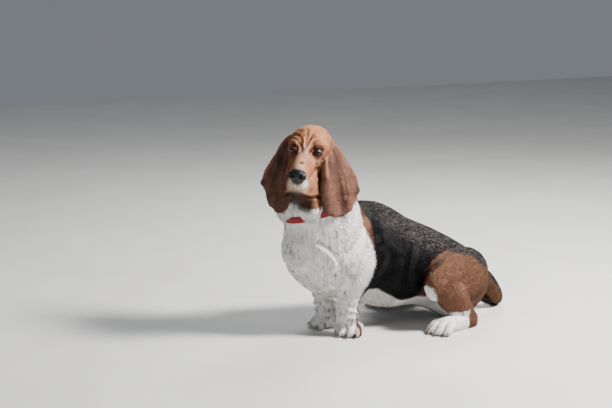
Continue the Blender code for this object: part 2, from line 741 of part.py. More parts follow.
def hull(name, points, by=0.0):
    """The convex solid around the points, standing out by this much along each axis."""
    bm = bmesh.new()
    ways = (-by, by) if by else (0,)
    for p in points:
        for x in ways:
            for y in ways:
                for z in ways:
                    bm.verts.new(Vector(p) + Vector((x, y, z)))
    made = bmesh.ops.convex_hull(bm, input=bm.verts)
    loose = {v for v in made["geom_interior"] + made["geom_unused"] if isinstance(v, bmesh.types.BMVert)}
    bmesh.ops.delete(bm, geom=list(loose), context="VERTS")
    return mesh_object(name, bm)


def thin_out(obj, triangles):
    """Fewer, larger faces: the head and paws keep more of theirs."""
    places, _ = arrays_of(obj)
    local = to_head(places)
    fine = np.clip((local[:, 0] + local[:, 2] + 0.16) / 0.06, 0, 1) * (places[:, 2] > 0.36)
    fine = np.maximum(fine, 0.7 * np.clip((0.12 - places[:, 2]) / 0.05, 0, 1) * (places[:, 1] < -0.02))
    fine = np.maximum(fine, 0.6 * np.clip((0.05 - places[:, 2]) / 0.02, 0, 1) * (places[:, 1] < 0.2))
    coarse = np.round((1 - FINE_SHARE * fine) * 10).astype(int)
    group = obj.vertex_groups.new(name="coarse")
    for level in range(1, 11):
        group.add(np.nonzero(coarse == level)[0].tolist(), level / 10, "REPLACE")
    modifier = obj.modifiers.new("thin", "DECIMATE")
    modifier.ratio = triangles / sum(len(p.vertices) - 2 for p in obj.data.polygons)
    modifier.vertex_group = "coarse"
    modifier.vertex_group_factor = 1.0
    modifier.use_collapse_triangulate = True
    bake(obj)
    obj.vertex_groups.clear()


def finish(obj, name, material):
    """The object becomes a node with its material."""
    obj.name = name
    obj.data.name = name
    HELPERS.objects.unlink(obj)
    DOG.objects.link(obj)
    obj.data.materials.clear()
    obj.data.materials.append(material)
    return obj


def material(name, colour, roughness):
    made = bpy.data.materials.new(name)
    made.use_nodes = True
    shader = made.node_tree.nodes["Principled BSDF"]
    shader.inputs["Base Color"].default_value = (*colour, 1)
    shader.inputs["Roughness"].default_value = roughness
    return made


TAN = material("tan_coat", (0.36, 0.15, 0.065), 0.8)
WHITE = material("white_coat", (0.75, 0.71, 0.66), 0.8)
BLACK = material("saddle_coat", (0.035, 0.032, 0.032), 0.8)
EAR_BROWN = material("ear_coat", (0.24, 0.085, 0.045), 0.75)
EYE_BROWN = material("eye", (0.03, 0.012, 0.006), 0.08)
NOSE_BLACK = material("nose", (0.012, 0.011, 0.012), 0.35)
CLAW_HORN = material("claw", (0.42, 0.34, 0.26), 0.45)
COLLAR_RED = material("collar", (0.22, 0.012, 0.014), 0.7)

flesh = flesh_skin(SKIN_VOXEL)
thin_out(flesh, FLESH_TRIANGLES)

# the lids, then room for the eyeballs
for side in (1, -1):
    for lid in lid_forms(side):
        boolean(flesh, lid, "UNION")
for side, name in ((1, "eye_left"), (-1, "eye_right")):
    centre = eye_place(side).translation
    boolean(flesh, ball("eye_room", centre, (EYE_RADIUS + GAP,) * 3, HEAD_TURN, 15), "DIFFERENCE")
    finish(ball("eye", centre, (EYE_RADIUS,) * 3, HEAD_TURN, 15), name, EYE_BROWN)

# the nose leather, with a nostril and its slit on each side
nose = joined("nose", [head_ball("nose_part", *part) for part in NOSE])
modifier = nose.modifiers.new("skin", "REMESH")
modifier.mode = "VOXEL"
modifier.voxel_size = 0.0012
bake(nose)
modifier = nose.modifiers.new("thin", "DECIMATE")
modifier.ratio = NOSE_TRIANGLES / (2 * len(nose.data.polygons))
bake(nose)
room = hull("nose_room", [v.co for v in nose.data.vertices], GAP)
boolean(flesh, room, "DIFFERENCE")
for side in (1, -1):
    for (x, y, z), radii in NOSTRILS:
        boolean(nose, head_ball("nostril", (x, side * y, z), radii, 9), "DIFFERENCE")
finish(nose, "nose", NOSE_BLACK)

# the line between the lips
LIP_HEIGHT = 0.0012
LIP_DEPTH = 0.0075
lips = LIPS[::-1] + tuple((x, -y, z) for x, y, z in LIPS[1:])
slit = [(in_head(*p), LIP_HEIGHT, LIP_DEPTH, LIP_DEPTH) for p in lips]
boolean(flesh, loft("lips", slit, HEAD_TURN @ Vector((0, 0, 1)), 2, 6, (45,)), "DIFFERENCE")

# the floor
floor = hull("floor", [(x, y, z) for x in (-1, 1) for y in (-1, 1) for z in (-0.2, 0)])
boolean(flesh, floor, "DIFFERENCE")

# the collar follows the neck where the dewlap hangs over it
COLLAR_MIDDLE = at(0.140, 0.034, 0.367)
COLLAR_TILT = math.radians(17)
COLLAR_WIDTH = 0.018
COLLAR_THICKNESS = 0.0035
COLLAR_SINK = 0.0020
COLLAR_SIDES = 44
# how far beyond the neck itself the collar goes out with the skin, before the dewlap hangs over it
COLLAR_SPARE = 0.001


def collar_ring(sink, grow):
    """A band around the neck, its inner face this far inside the skin."""
    place = Matrix.Translation(COLLAR_MIDDLE) @ Matrix.Rotation(COLLAR_TILT, 4, "X")
    graph = bpy.context.evaluated_depsgraph_get()
    trees = [BVHTree.FromObject(obj, graph) for obj in (neck_skin, neck_core)]
    reach = []
    for k in range(COLLAR_SIDES):
        a = 2 * math.pi * k / COLLAR_SIDES
        way = (place.to_3x3() @ Vector((math.sin(a), -math.cos(a), 0))).normalized()
        found = []
        for up in (-0.5, 0, 0.5):
            start = place @ Vector((0, 0, up * COLLAR_WIDTH))
            skin, neck = (tree.ray_cast(start, way)[3] for tree in trees)
            found.append(min(skin, neck + COLLAR_SPARE))
        reach.append(max(found))
    smooth = np.array(reach)
    for _ in range(3):
        smooth = (np.roll(smooth, 1) + 2 * smooth + np.roll(smooth, -1)) / 4
    bm = bmesh.new()
    loops = []
    for k in range(COLLAR_SIDES):
        a = 2 * math.pi * k / COLLAR_SIDES
        way = Vector((math.sin(a), -math.cos(a), 0))
        inner, outer = smooth[k] - sink - grow, smooth[k] - sink + COLLAR_THICKNESS + grow
        half = COLLAR_WIDTH / 2 + grow
        corners = ((inner, -half), (outer, -half), (outer, half), (inner, half))
        loops.append([bm.verts.new(place @ (way * r + Vector((0, 0, z)))) for r, z in corners])
    for one, two in zip(loops, loops[1:] + loops[:1]):
        for k in range(4):
            m = (k + 1) % 4
            bm.faces.new((one[k], one[m], two[m], two[k]))
    return mesh_object("collar", bm)


neck_skin = copy_of(flesh, "neck_skin")
neck_core = joined("neck_core", [body_loft("neck_core", NECK)])

# the ears hang clear of the neck and the collar, and their roots end at the head
clear = grown(flesh, "clear_of_flesh", GAP)
for side, name in ((1, "ear_left"), (-1, "ear_right")):
    ear = sheet_object("ear", ear_points(side, 15, 11), EAR_THICKNESS)
    boolean(ear, clear, "DIFFERENCE", keep=True)
    boolean(ear, collar_ring(COLLAR_SINK, GAP), "DIFFERENCE")
    finish(ear, name, EAR_BROWN)
bpy.data.objects.remove(clear)

boolean(flesh, collar_ring(COLLAR_SINK, GAP), "DIFFERENCE")
finish(collar_ring(COLLAR_SINK, 0), "collar", COLLAR_RED)
bpy.data.objects.remove(neck_skin)
bpy.data.objects.remove(neck_core)

# the claws
for name, side, paws in (
    ("forepaw_left", 1, FORE_PAWS),
    ("forepaw_right", -1, FORE_PAWS),
    ("hindpaw_left", 1, HIND_PAWS),
    ("hindpaw_right", -1, HIND_PAWS),
):
    boolean(flesh, joined("claw_room", claws("room", paws[side], GAP)), "DIFFERENCE")
    for claw in claws(name, paws[side]):
        finish(claw, claw.name, CLAW_HORN)


def head_zone():
    """All that lies in front of a plane behind the skull and the corner of the jaw."""
    return [
        in_head(*p)
        for p in (
            (-0.125, -0.3, 0.0), (-0.125, 0.3, 0.0), (-0.020, -0.3, -0.125), (-0.020, 0.3, -0.125),
            (-0.325, -0.3, 0.238), (-0.325, 0.3, 0.238), (0.3, -0.3, -0.14), (0.3, 0.3, -0.14),
            (0.3, -0.3, 0.3), (0.3, 0.3, 0.3),
        )
    ]


def zone(rows, side=1):
    return [at(f, side * l, u) for f, l, u in rows]


def slab(side, f0, f1, l0, l1, u0, u1):
    return zone([(f, l, u) for f in (f0, f1) for l in (l0, l1) for u in (u0, u1)], side)


NECK_CUT = ((-0.25, 0.453), (0.45, 0.210))
NECK_ZONE = [(f, l, u + rise) for f, u in NECK_CUT for l in (-0.4, 0.4) for rise in (0, 0.6)]
FORELEG_ZONE = (
    (0.014, 0.175, 0.190), (0.165, 0.175, 0.190), (0.040, 0.020, 0.066), (0.165, 0.020, 0.066),
    (0.030, 0.175, -0.02), (0.200, 0.175, -0.02), (0.030, 0.012, -0.02), (0.200, 0.012, -0.02),
)
RIGHT_FORELEG_ZONE = (
    (0.010, 0.175, 0.200), (0.175, 0.175, 0.200), (0.035, -0.012, 0.062), (0.175, -0.012, 0.062),
    (0.035, 0.175, -0.02), (0.210, 0.175, -0.02), (0.035, -0.012, -0.02), (0.210, -0.012, -0.02),
)
HAUNCH = ((-0.100, 0.19), (-0.200, 0.235), (-0.300, 0.215), (-0.370, 0.15), (-0.402, 0.06), (-0.402, -0.02),
          (-0.100, -0.02))
HINDLEG_ZONE = [(f, l, u) for f, u in HAUNCH for l in (0.153 + 0.245 * f, 0.26)]

pieces = (
    ("head", TAN, head_zone()),
    ("tail", TAN, slab(1, -0.60, -0.408, -0.3, 0.3, -0.1, 0.3)),
    ("forepaw_left", WHITE, slab(1, 0.02, 0.25, 0.012, 0.20, -0.02, 0.046)),
    ("forepaw_right", WHITE, slab(-1, 0.02, 0.25, -0.012, 0.20, -0.02, 0.046)),
    ("hindpaw_left", WHITE, slab(1, -0.185, -0.05, 0.10, 0.28, -0.02, 0.060)),
    ("hindpaw_right", WHITE, slab(-1, -0.185, -0.05, 0.10, 0.28, -0.02, 0.060)),
    ("foreleg_left", WHITE, zone(FORELEG_ZONE)),
    ("foreleg_right", WHITE, zone(RIGHT_FORELEG_ZONE, -1)),
    ("hindleg_left", TAN, zone(HINDLEG_ZONE)),
    ("hindleg_right", TAN, zone(HINDLEG_ZONE, -1)),
    ("neck", WHITE, zone(NECK_ZONE)),
)
for name, coat, points in pieces:
    piece = copy_of(flesh, name)
    boolean(piece, hull("zone", points), "INTERSECT")
    boolean(flesh, hull("zone", points, GAP), "DIFFERENCE")
    finish(piece, name, coat)
finish(flesh, "torso", BLACK)

# the origin goes to the middle of the base
corners = [obj.matrix_world @ Vector(c) for obj in DOG.objects for c in obj.bound_box]
low = [min(c[k] for c in corners) for k in range(3)]
high = [max(c[k] for c in corners) for k in range(3)]
shift = Vector((-(low[0] + high[0]) / 2, -(low[1] + high[1]) / 2, -low[2]))
for obj in DOG.objects:
    obj.data.transform(Matrix.Translation(shift))
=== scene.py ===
"""The looks of the basset hound: one skin in place of its flesh, with markings and short fur."""

import math

import bmesh
import bpy
import numpy as np
from mathutils import Matrix, Vector
from mathutils.bvhtree import BVHTree


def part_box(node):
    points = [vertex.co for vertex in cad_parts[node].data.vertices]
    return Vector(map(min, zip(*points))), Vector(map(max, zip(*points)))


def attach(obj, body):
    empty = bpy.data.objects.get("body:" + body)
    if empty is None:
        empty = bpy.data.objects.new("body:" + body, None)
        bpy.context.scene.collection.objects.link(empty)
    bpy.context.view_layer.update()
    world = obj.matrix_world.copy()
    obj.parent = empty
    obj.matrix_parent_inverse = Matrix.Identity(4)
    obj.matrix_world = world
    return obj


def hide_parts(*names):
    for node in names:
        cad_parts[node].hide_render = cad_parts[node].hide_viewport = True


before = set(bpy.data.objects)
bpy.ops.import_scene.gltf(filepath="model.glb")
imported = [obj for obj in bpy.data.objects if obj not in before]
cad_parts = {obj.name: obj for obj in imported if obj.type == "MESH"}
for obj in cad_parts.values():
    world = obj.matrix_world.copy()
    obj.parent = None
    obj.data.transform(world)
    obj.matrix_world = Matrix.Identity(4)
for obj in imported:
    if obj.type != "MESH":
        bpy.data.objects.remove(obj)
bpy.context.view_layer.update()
SCENE = bpy.context.scene
DOG = bpy.data.collections.new("dog")
SCENE.collection.children.link(DOG)


def mm(*rows):
    """These rows of millimetres, however deeply nested, in metres."""
    return tuple(mm(*row) if isinstance(row, tuple) else round(row / 1000, 7) for row in rows)


def at(forward, left, up):
    """A point by the dog's own directions: it faces -Y, and its left side is +X."""
    return Vector((left, -forward, up))


EYES_MIDDLE = at(0.208, 0.070, 0.525)
HEAD_YAW = math.radians(51)
HEAD_PITCH = math.radians(10)
HEAD_ROLL = math.radians(-7)
HEAD = (
    Matrix.Translation(EYES_MIDDLE)
    @ Matrix.Rotation(HEAD_YAW, 4, "Z")
    @ Matrix(((0, 1, 0, 0), (-1, 0, 0, 0), (0, 0, 1, 0), (0, 0, 0, 1)))
    @ Matrix.Rotation(HEAD_PITCH, 4, "Y")
    @ Matrix.Rotation(HEAD_ROLL, 4, "X")
)
HEAD_TURN = HEAD.to_3x3().to_4x4()
HEAD_LEFT = HEAD_TURN @ Vector((0, 1, 0))
LEFT_SIDE = Vector((1, 0, 0))


def in_head(forward, left, up):
    """A point by the head's own directions, from the middle between the eyes."""
    return HEAD @ Vector((forward, left, up))


def length(vectors):
    return np.linalg.norm(vectors, axis=1)


def unit(vectors):
    return vectors / np.maximum(length(vectors), 1e-9)[:, None]


def share(value, low, high):
    """From 0 at low to 1 at high, smooth between them."""
    t = np.clip((value - low) / (high - low), 0, 1)
    return t * t * (3 - 2 * t)


def spline(rows, steps):
    """Catmull-Rom through the rows, with steps between two of them."""
    rows = np.array(rows, float)
    ends = np.vstack([2 * rows[0] - rows[1], rows, 2 * rows[-1] - rows[-2]])
    out = []
    for i in range(len(rows) - 1):
        p0, p1, p2, p3 = ends[i : i + 4]
        for t in np.arange(steps) / steps:
            square = 2 * p0 - 5 * p1 + 4 * p2 - p3
            cube = 3 * p1 - p0 - 3 * p2 + p3
            out.append(0.5 * (2 * p1 + (p2 - p0) * t + square * t**2 + cube * t**3))
    out.append(rows[-1])
    return np.array(out)


def mesh_object(name, bm):
    bmesh.ops.recalc_face_normals(bm, faces=bm.faces)
    mesh = bpy.data.meshes.new(name)
    bm.to_mesh(mesh)
    bm.free()
    obj = bpy.data.objects.new(name, mesh)
    DOG.objects.link(obj)
    return obj


def loft(name, stations, side, steps=5, sides=28, dome=(26, 52, 75)):
    """A closed form through stations of (centre, half width, height above, height below), with domed ends.

    Above is the way of side x path: up for a path that runs back, and back for one that runs down."""
    rows = spline([(*c, w, a, b) for c, w, a, b in stations], steps)
    centres, sizes = rows[:, :3], np.maximum(rows[:, 3:], 0.0004)
    tangents = unit(np.gradient(centres, axis=0))
    rings = list(zip(centres, sizes, tangents))
    tips = []
    for end, way in ((0, -1), (-1, 1)):
        reach = way * tangents[end] * sizes[end].min() * 0.9
        cap = [
            (centres[end] + reach * math.sin(a), sizes[end] * math.cos(a), tangents[end])
            for a in (math.radians(angle) for angle in dome)
        ]
        tips.append(centres[end] + reach)
        rings = cap[::-1] + rings if end == 0 else rings + cap
    side = np.array(side, float)
    bm = bmesh.new()
    loops = []
    for centre, (width, above, below), tangent in rings:
        across = side - tangent * (side @ tangent)
        across /= np.linalg.norm(across)
        upward = np.cross(across, tangent)
        loop = []
        for k in range(sides):
            a = 2 * math.pi * k / sides
            height = above if math.sin(a) > 0 else below
            reach = across * width * math.cos(a) + upward * height * math.sin(a)
            loop.append(bm.verts.new(centre + reach))
        loops.append(loop)
    for one, two in zip(loops, loops[1:]):
        for k in range(sides):
            m = (k + 1) % sides
            bm.faces.new((one[k], one[m], two[m], two[k]))
    for tip, loop in zip(tips, (loops[0], loops[-1])):
        point = bm.verts.new(tip)
        for k in range(sides):
            bm.faces.new((loop[k], loop[(k + 1) % sides], point))
    return mesh_object(name, bm)


def ball(name, centre, radii, turn=None, fine=28):
    bm = bmesh.new()
    bmesh.ops.create_uvsphere(bm, u_segments=fine, v_segments=fine * 2 // 3, radius=1.0)
    matrix = Matrix.Translation(centre) @ (turn or Matrix()) @ Matrix.Diagonal((*radii, 1))
    bmesh.ops.transform(bm, matrix=matrix, verts=bm.verts)
    return mesh_object(name, bm)


def head_ball(name, centre, radii, fine=28):
    return ball(name, in_head(*centre), radii, HEAD_TURN, fine)


def joined(name, objects):
    bm = bmesh.new()
    for obj in objects:
        bm.from_mesh(obj.data)
        bpy.data.objects.remove(obj)
    return mesh_object(name, bm)


def shaped(obj, kind, **settings):
    """Replaces the object's mesh by what one modifier makes of it."""
    modifier = obj.modifiers.new("shaped", kind)
    for name, value in settings.items():
        setattr(modifier, name, value)
    graph = bpy.context.evaluated_depsgraph_get()
    mesh = bpy.data.meshes.new_from_object(obj.evaluated_get(graph))
    obj.modifiers.clear()
    obj.data = mesh
    obj.vertex_groups.clear()


def remesh(obj, voxel):
    shaped(obj, "REMESH", mode="VOXEL", voxel_size=voxel)


def weigh(obj, levels, steps):
    """A vertex group that holds each point by its level, out of this many."""
    group = obj.vertex_groups.new(name="where")
    for level in range(1, steps + 1):
        group.add(np.nonzero(levels == level)[0].tolist(), level / steps, "REPLACE")


def smooth_where(obj, amounts, rounds, steps=10):
    weigh(obj, np.ceil(amounts * steps).astype(int), steps)
    shaped(obj, "SMOOTH", factor=0.5, iterations=rounds, vertex_group="where")


# forward, left and up of the middle, then half width, height above and height below
TORSO = mm(
    (214, 32, 252, 56, 45, 55),
    (182, 28, 241, 94, 85, 88),
    (105, 14, 222, 114, 128, 122),
    (0, 3, 208, 117, 153, 138),
    (-100, 0, 180, 120, 130, 138),
    (-190, 0, 154, 115, 116, 114),
    (-280, 4, 124, 101, 98, 118),
    (-330, 10, 100, 84, 81, 118),
    (-362, 13, 82, 56, 48, 96),
)
# the same, where above is the front and below the back
NECK = mm(
    (108, 20, 235, 108, 132, 100),
    (122, 28, 300, 102, 130, 102),
    (134, 34, 355, 90, 120, 96),
    (138, 38, 410, 77, 98, 80),
    (146, 34, 455, 64, 68, 64),
    (158, 30, 485, 50, 50, 50),
)
# forward and up in the head, then half width, height above and height below
SKULL = mm(
    (101, -41, 24, 20, 30),
    (84, -37, 29, 26, 38),
    (60, -31, 32, 29, 46),
    (34, -23, 36, 30, 54),
    (10, -12, 46, 33, 60),
    (-15, -4, 57, 42, 66),
    (-45, 0, 61, 50, 70),
    (-75, 2, 55, 46, 60),
    (-100, 0, 40, 36, 45),
    (-116, -10, 24, 26, 30),
)
JAW = mm(
    (88, -99, 20, 19, 19),
    (66, -106, 29, 24, 22),
    (30, -105, 37, 30, 27),
    (-15, -88, 45, 38, 38),
    (-50, -62, 50, 40, 40),
)
# forward, left and up in the head, then half width, height above and height below
FLEW = mm(
    (104, 11, -64, 12, 18, 19),
    (86, 18, -72, 13.5, 26, 28),
    (62, 24.5, -80, 14.5, 30, 33),
    (34, 30, -82, 14.5, 32, 34),
    (6, 35, -72, 12, 28, 30),
)
# the throat's hanging folds, over the collar: forward, left, up, half width, back, front
DEWLAPS = mm(
    (
        (205, 90, 440, 28, 26, 28),
        (212, 98, 402, 32, 30, 31),
        (214, 99, 372, 36, 31, 34),
        (208, 94, 357, 31, 27, 29),
    ),
    (
        (225, 60, 430, 30, 26, 28),
        (236, 44, 396, 34, 30, 31),
        (238, 34, 370, 34, 29, 31),
        (232, 28, 356, 28, 24, 26),
    ),
    (
        (214, 16, 430, 30, 26, 26),
        (222, 4, 396, 34, 30, 30),
        (222, -6, 370, 34, 29, 30),
        (216, -10, 356, 28, 24, 25),
    ),
)
# the fold that lies on the collar's upper edge in front: forward, left, up and radius
THROAT_FOLD = mm(
    (205, -52, 350, 15),
    (234, -22, 345, 19),
    (247, 10, 345, 20),
    (247, 42, 353, 18),
    (232, 74, 362, 16),
)
# forward, left, up, half width, back, front
FORELEG = {
    1: mm(
        (30, 70, 290, 45, 60, 60),
        (70, 92, 220, 52, 70, 68),
        (72, 100, 165, 42, 48, 46),
        (88, 94, 125, 33, 35, 34),
        (92, 87, 80, 29, 30, 30),
        (86, 81, 48, 28, 27, 28),
        (80, 78, 26, 28, 26, 28),
    ),
    -1: mm(
        (30, -60, 290, 45, 60, 60),
        (80, -80, 220, 50, 66, 66),
        (88, -74, 165, 42, 46, 44),
        (100, -54, 125, 34, 35, 34),
        (102, -36, 80, 29, 29, 29),
        (99, -30, 48, 28, 27, 28),
        (95, -28, 26, 27, 26, 27),
    ),
}
THIGH = mm(
    (-140, 163, 122, 28, 40, 34),
    (-175, 146, 135, 44, 62, 58),
    (-230, 118, 138, 54, 84, 80),
    (-285, 88, 128, 60, 89, 86),
    (-325, 55, 110, 56, 74, 80),
)
SHANK = mm(
    (-165, 158, 140, 34, 45, 36),
    (-190, 162, 95, 36, 60, 36),
    (-225, 160, 62, 28, 46, 30),
    (-264, 152, 36, 20, 22, 22),
)
METATARSUS = mm(
    (-160, 182, 22, 28, 22, 26),
    (-200, 170, 24, 24, 24, 30),
    (-250, 157, 24, 21, 23, 34),
    (-276, 150, 26, 18, 21, 36),
)
TAIL = mm(
    (-350, 12, 122, 30, 30, 30),
    (-395, 12, 106, 27, 27, 27),
    (-430, 8, 74, 24, 24, 24),
    (-460, -6, 38, 21, 21, 21),
    (-480, -38, 17, 18, 18, 18),
    (-480, -84, 13, 15.5, 15.5, 15.5),
    (-458, -128, 10, 12, 12, 12),
)
# the paw's middle, forward and left, how far its toes turn to the dog's left in degrees, and its scale
FORE_PAWS = {1: (0.082, 0.084, 36, 0.90), -1: (0.107, -0.030, -16, 0.90)}
HIND_PAWS = {1: (-0.158, 0.184, 12, 0.92), -1: (-0.158, -0.178, -12, 0.92)}
# how far each toe sits to the left of the paw's middle, and forward of it
TOES = mm((30, -4), (11.5, 10), (-11.5, 10), (-30, -4))


def paw_place(forward, left, turn, scale):
    """From the paw's own forward, left and up to the room."""
    return (
        Matrix.Translation(at(forward, left, 0))
        @ Matrix.Rotation(math.radians(turn - 90), 4, "Z")
        @ Matrix.Scale(scale, 4)
    )


def paw_forms(name, paw):
    """Four toes, the outer two set back, over one pad."""
    place, scale = paw_place(*paw), paw[3]
    turn = place.to_3x3().normalized().to_4x4()
    across = turn @ Vector((0, -1, 0))
    pad = [r * scale for r in (0.034, 0.033, 0.022)]
    forms = [ball(name + "_pad", place @ Vector((-0.008, 0, 0.020)), pad, turn)]
    for y, x in TOES:
        toe = (
            ((x - 0.014, y * 0.82, 0.030), 0.0115, 0.0110, 0.0160),
            ((x + 0.006, y, 0.027), 0.0130, 0.0135, 0.0180),
            ((x + 0.020, y * 1.18, 0.015), 0.0120, 0.0120, 0.0160),
        )
        toe = [(place @ Vector(c), *(r * scale for r in sizes)) for c, *sizes in toe]
        forms.append(loft(name + "_toe", toe, across))
    return forms


def body_loft(name, rows, side=1):
    return loft(name, [(at(f, side * l, u), w, a, b) for f, l, u, w, a, b in rows], LEFT_SIDE)


def body_forms():
    forms = [body_loft("torso", TORSO), body_loft("neck", NECK), body_loft("tail", TAIL)]
    forms += [body_loft("dewlap", rows) for rows in DEWLAPS]
    fold = [(at(*place), radius, radius, radius) for *place, radius in THROAT_FOLD]
    forms.append(loft("throat_fold", fold, Vector((0, 0, 1))))
    for name, rows in (("skull", SKULL), ("jaw", JAW)):
        rows = [(in_head(x, 0, z), w, a, b) for x, z, w, a, b in rows]
        forms.append(loft(name, rows, HEAD_LEFT))
    forms.append(head_ball("lip", (0.102, 0.000, -0.070), (0.015, 0.018, 0.021)))
    for side in (1, -1):
        flew = [(in_head(x, side * y, z), w, a, b) for x, y, z, w, a, b in FLEW]
        forms.append(loft("flew", flew, HEAD_LEFT))
        forms.append(head_ball("brow", (0.000, side * 0.032, 0.018), (0.025, 0.019, 0.014)))
        forms.append(head_ball("cheek", (-0.030, side * 0.038, -0.034), (0.046, 0.026, 0.040)))
        forms.append(head_ball("lip_fold", (0.034, side * 0.030, -0.118), (0.022, 0.009, 0.018)))
        forms.append(body_loft("foreleg", FORELEG[side]))
        for name, rows in (("thigh", THIGH), ("shank", SHANK), ("metatarsus", METATARSUS)):
            forms.append(body_loft(name, rows, side))
        forms += paw_forms("forepaw", FORE_PAWS[side])
        forms += paw_forms("hindpaw", HIND_PAWS[side])
    return forms


EYE_PLACE = (0.0200, 0.0310, 0.0035)
EYE_RADIUS = 0.0122
# the way an eye looks, out from straight ahead, in degrees
EYE_OUT = 22


def eye_place(side):
    """From the eye's own forward, left and up to the room."""
    return (
        HEAD
        @ Matrix.Translation((EYE_PLACE[0], side * EYE_PLACE[1], EYE_PLACE[2]))
        @ Matrix.Rotation(math.radians(side * EYE_OUT), 4, "Z")
    )


# along a lid from the inner corner: out and up of the eye's front in degrees
UPPER_LID = ((-70, -12), (-46, 16), (-10, 32), (30, 18), (68, -24))
LOWER_LID = ((-70, -12), (-42, -42), (-4, -57), (36, -54), (68, -24))
LID_SIZES = {"upper": 0.0027, "lower": 0.0019}


def lid_forms(side):
    """Two rolled edges over the eye, the lower one hanging."""
    place = eye_place(side)
    forms = []
    for name, lid in (("upper", UPPER_LID), ("lower", LOWER_LID)):
        size = LID_SIZES[name]
        stations = []
        for k, (out, up) in enumerate(lid):
            a, e = math.radians(side * out), math.radians(up)
            reach = EYE_RADIUS + 0.0014
            point = Vector((math.cos(a) * math.cos(e), math.sin(a) * math.cos(e), math.sin(e)))
            thick = size * (0.75 if k in (0, len(lid) - 1) else 1.0)
            stations.append((place @ (point * reach), thick, thick, thick))
        forms.append(loft(name + "_lid", stations, place.to_3x3() @ Vector((1, 0, 0)), 2, 8, (45,)))
    return forms


NOSE = mm(
    ((108, 0, -34.5), (17, 22.2, 16)),
    ((112, 12.5, -36), (12, 11.5, 12.5)),
    ((112, -12.5, -36), (12, 11.5, 12.5)),
    ((110, 0, -47), (11.5, 12, 11)),
)
NOSTRILS = (
    ((0.1255, 0.0105, -0.0355), (0.0085, 0.0042, 0.0044)),
    ((0.1180, 0.0185, -0.0385), (0.0080, 0.0068, 0.0020)),
)

EAR_ROOT = (-0.046, 0.058, 0.002)
EAR_THICKNESS = 0.0045
# how far each leather hangs at its longest
EAR_LENGTHS = {1: 0.212, -1: 0.210}
# how far each is turned back in degrees, beside EAR_WIDTHS
EAR_TURN = {1: 5, -1: -6}
# how much farther out each hangs lower down
EAR_SWING = {1: 0.0, -1: -0.012}
# across the ear from its front edge: the share of that length which the leather has there
EAR_ENDS = {
    1: ((0.0, 0.91), (0.10, 0.97), (0.30, 1.00), (0.50, 0.99), (0.72, 0.93), (0.88, 0.81), (1.0, 0.69)),
    -1: ((0.0, 0.96), (0.08, 1.02), (0.20, 1.03), (0.42, 1.03), (0.58, 0.98), (0.68, 0.88), (1.0, 0.70)),
}
# how far out from the root, and how far below it, the ear's front part hangs
EAR_HANG = mm((-30, -2), (-14, -4), (-2, 0), (5, 18), (9, 60), (11, 110), (20, 160), (31, 205), (38, 245))
# how much higher and farther in the ear's rear edge is rooted, and how far down this evens out
EAR_RISE = 0.022
EAR_TUCK = 0.022
EAR_RISE_END = 0.11
# how far down the ear, its width, how far forward of the root its front edge is, and how its cut turns back
EAR_WIDTHS = (
    (0.00, 0.054, 0.024, 48),
    (0.03, 0.066, 0.032, 45),
    (0.07, 0.098, 0.052, 42),
    (0.11, 0.130, 0.074, 40),
    (0.15, 0.145, 0.088, 40),
    (0.20, 0.146, 0.090, 42),
    (0.26, 0.142, 0.088, 46),
)
# across the ear from its front edge: the share of the width, and the turn there in degrees
EAR_CURL = ((0.0, -76), (0.08, -34), (0.20, 16), (0.40, 30), (0.56, -30), (0.72, 32), (0.88, 6), (1.0, -34))

# into how many steps the width is cut to follow the curl
EAR_STEPS = 48


def ear_points(side, rows, columns):
    """A curled leather. Each column hangs from the root to its own length, which shapes the tip."""
    root = in_head(EAR_ROOT[0], side * EAR_ROOT[1], EAR_ROOT[2])
    out = HEAD_TURN @ Vector((0, side, 0))
    back = HEAD_TURN @ Vector((-1, 0, 0))
    for way in (out, back):
        way.z = 0
        way.normalize()
    down = Vector((0, 0, -1))
    hang = spline(EAR_HANG, 12)
    run = np.concatenate([[0], np.cumsum(length(np.diff(hang, axis=0)))])
    widths = np.array(EAR_WIDTHS)
    curl = np.array(EAR_CURL)
    ends = np.array(EAR_ENDS[side])
    steps = (np.arange(EAR_STEPS) + 0.5) / EAR_STEPS
    points = np.zeros((rows + 1, columns + 1, 3))
    for i in range(rows + 1):
        for j in range(columns + 1):
            v = j / columns
            d = EAR_LENGTHS[side] * np.interp(v, ends[:, 0], ends[:, 1]) * i / rows
            width, front, turn = (np.interp(d, widths[:, 0], widths[:, k]) for k in (1, 2, 3))
            fold = np.clip((d - 0.01) / 0.06, 0.35, 1)
            angles = np.radians(turn + EAR_TURN[side] + fold * np.interp(steps, curl[:, 0], curl[:, 1]))
            upto = np.clip(v * EAR_STEPS - np.arange(EAR_STEPS), 0, 1) * width / EAR_STEPS
            x = (np.cos(angles) * upto).sum()
            y = (np.sin(angles) * upto).sum()
            o = np.interp(d, run, hang[:, 0]) + EAR_SWING[side] * min(d / 0.1, 1)
            even = max(0.0, 1 - d / EAR_RISE_END)
            z = np.interp(d, run, hang[:, 1]) - EAR_RISE * v * even * even
            tuck = EAR_TUCK * v * even * even + 0.025
            points[i, j] = root + out * (o + x - tuck) + back * (y - front) + down * z
    return points


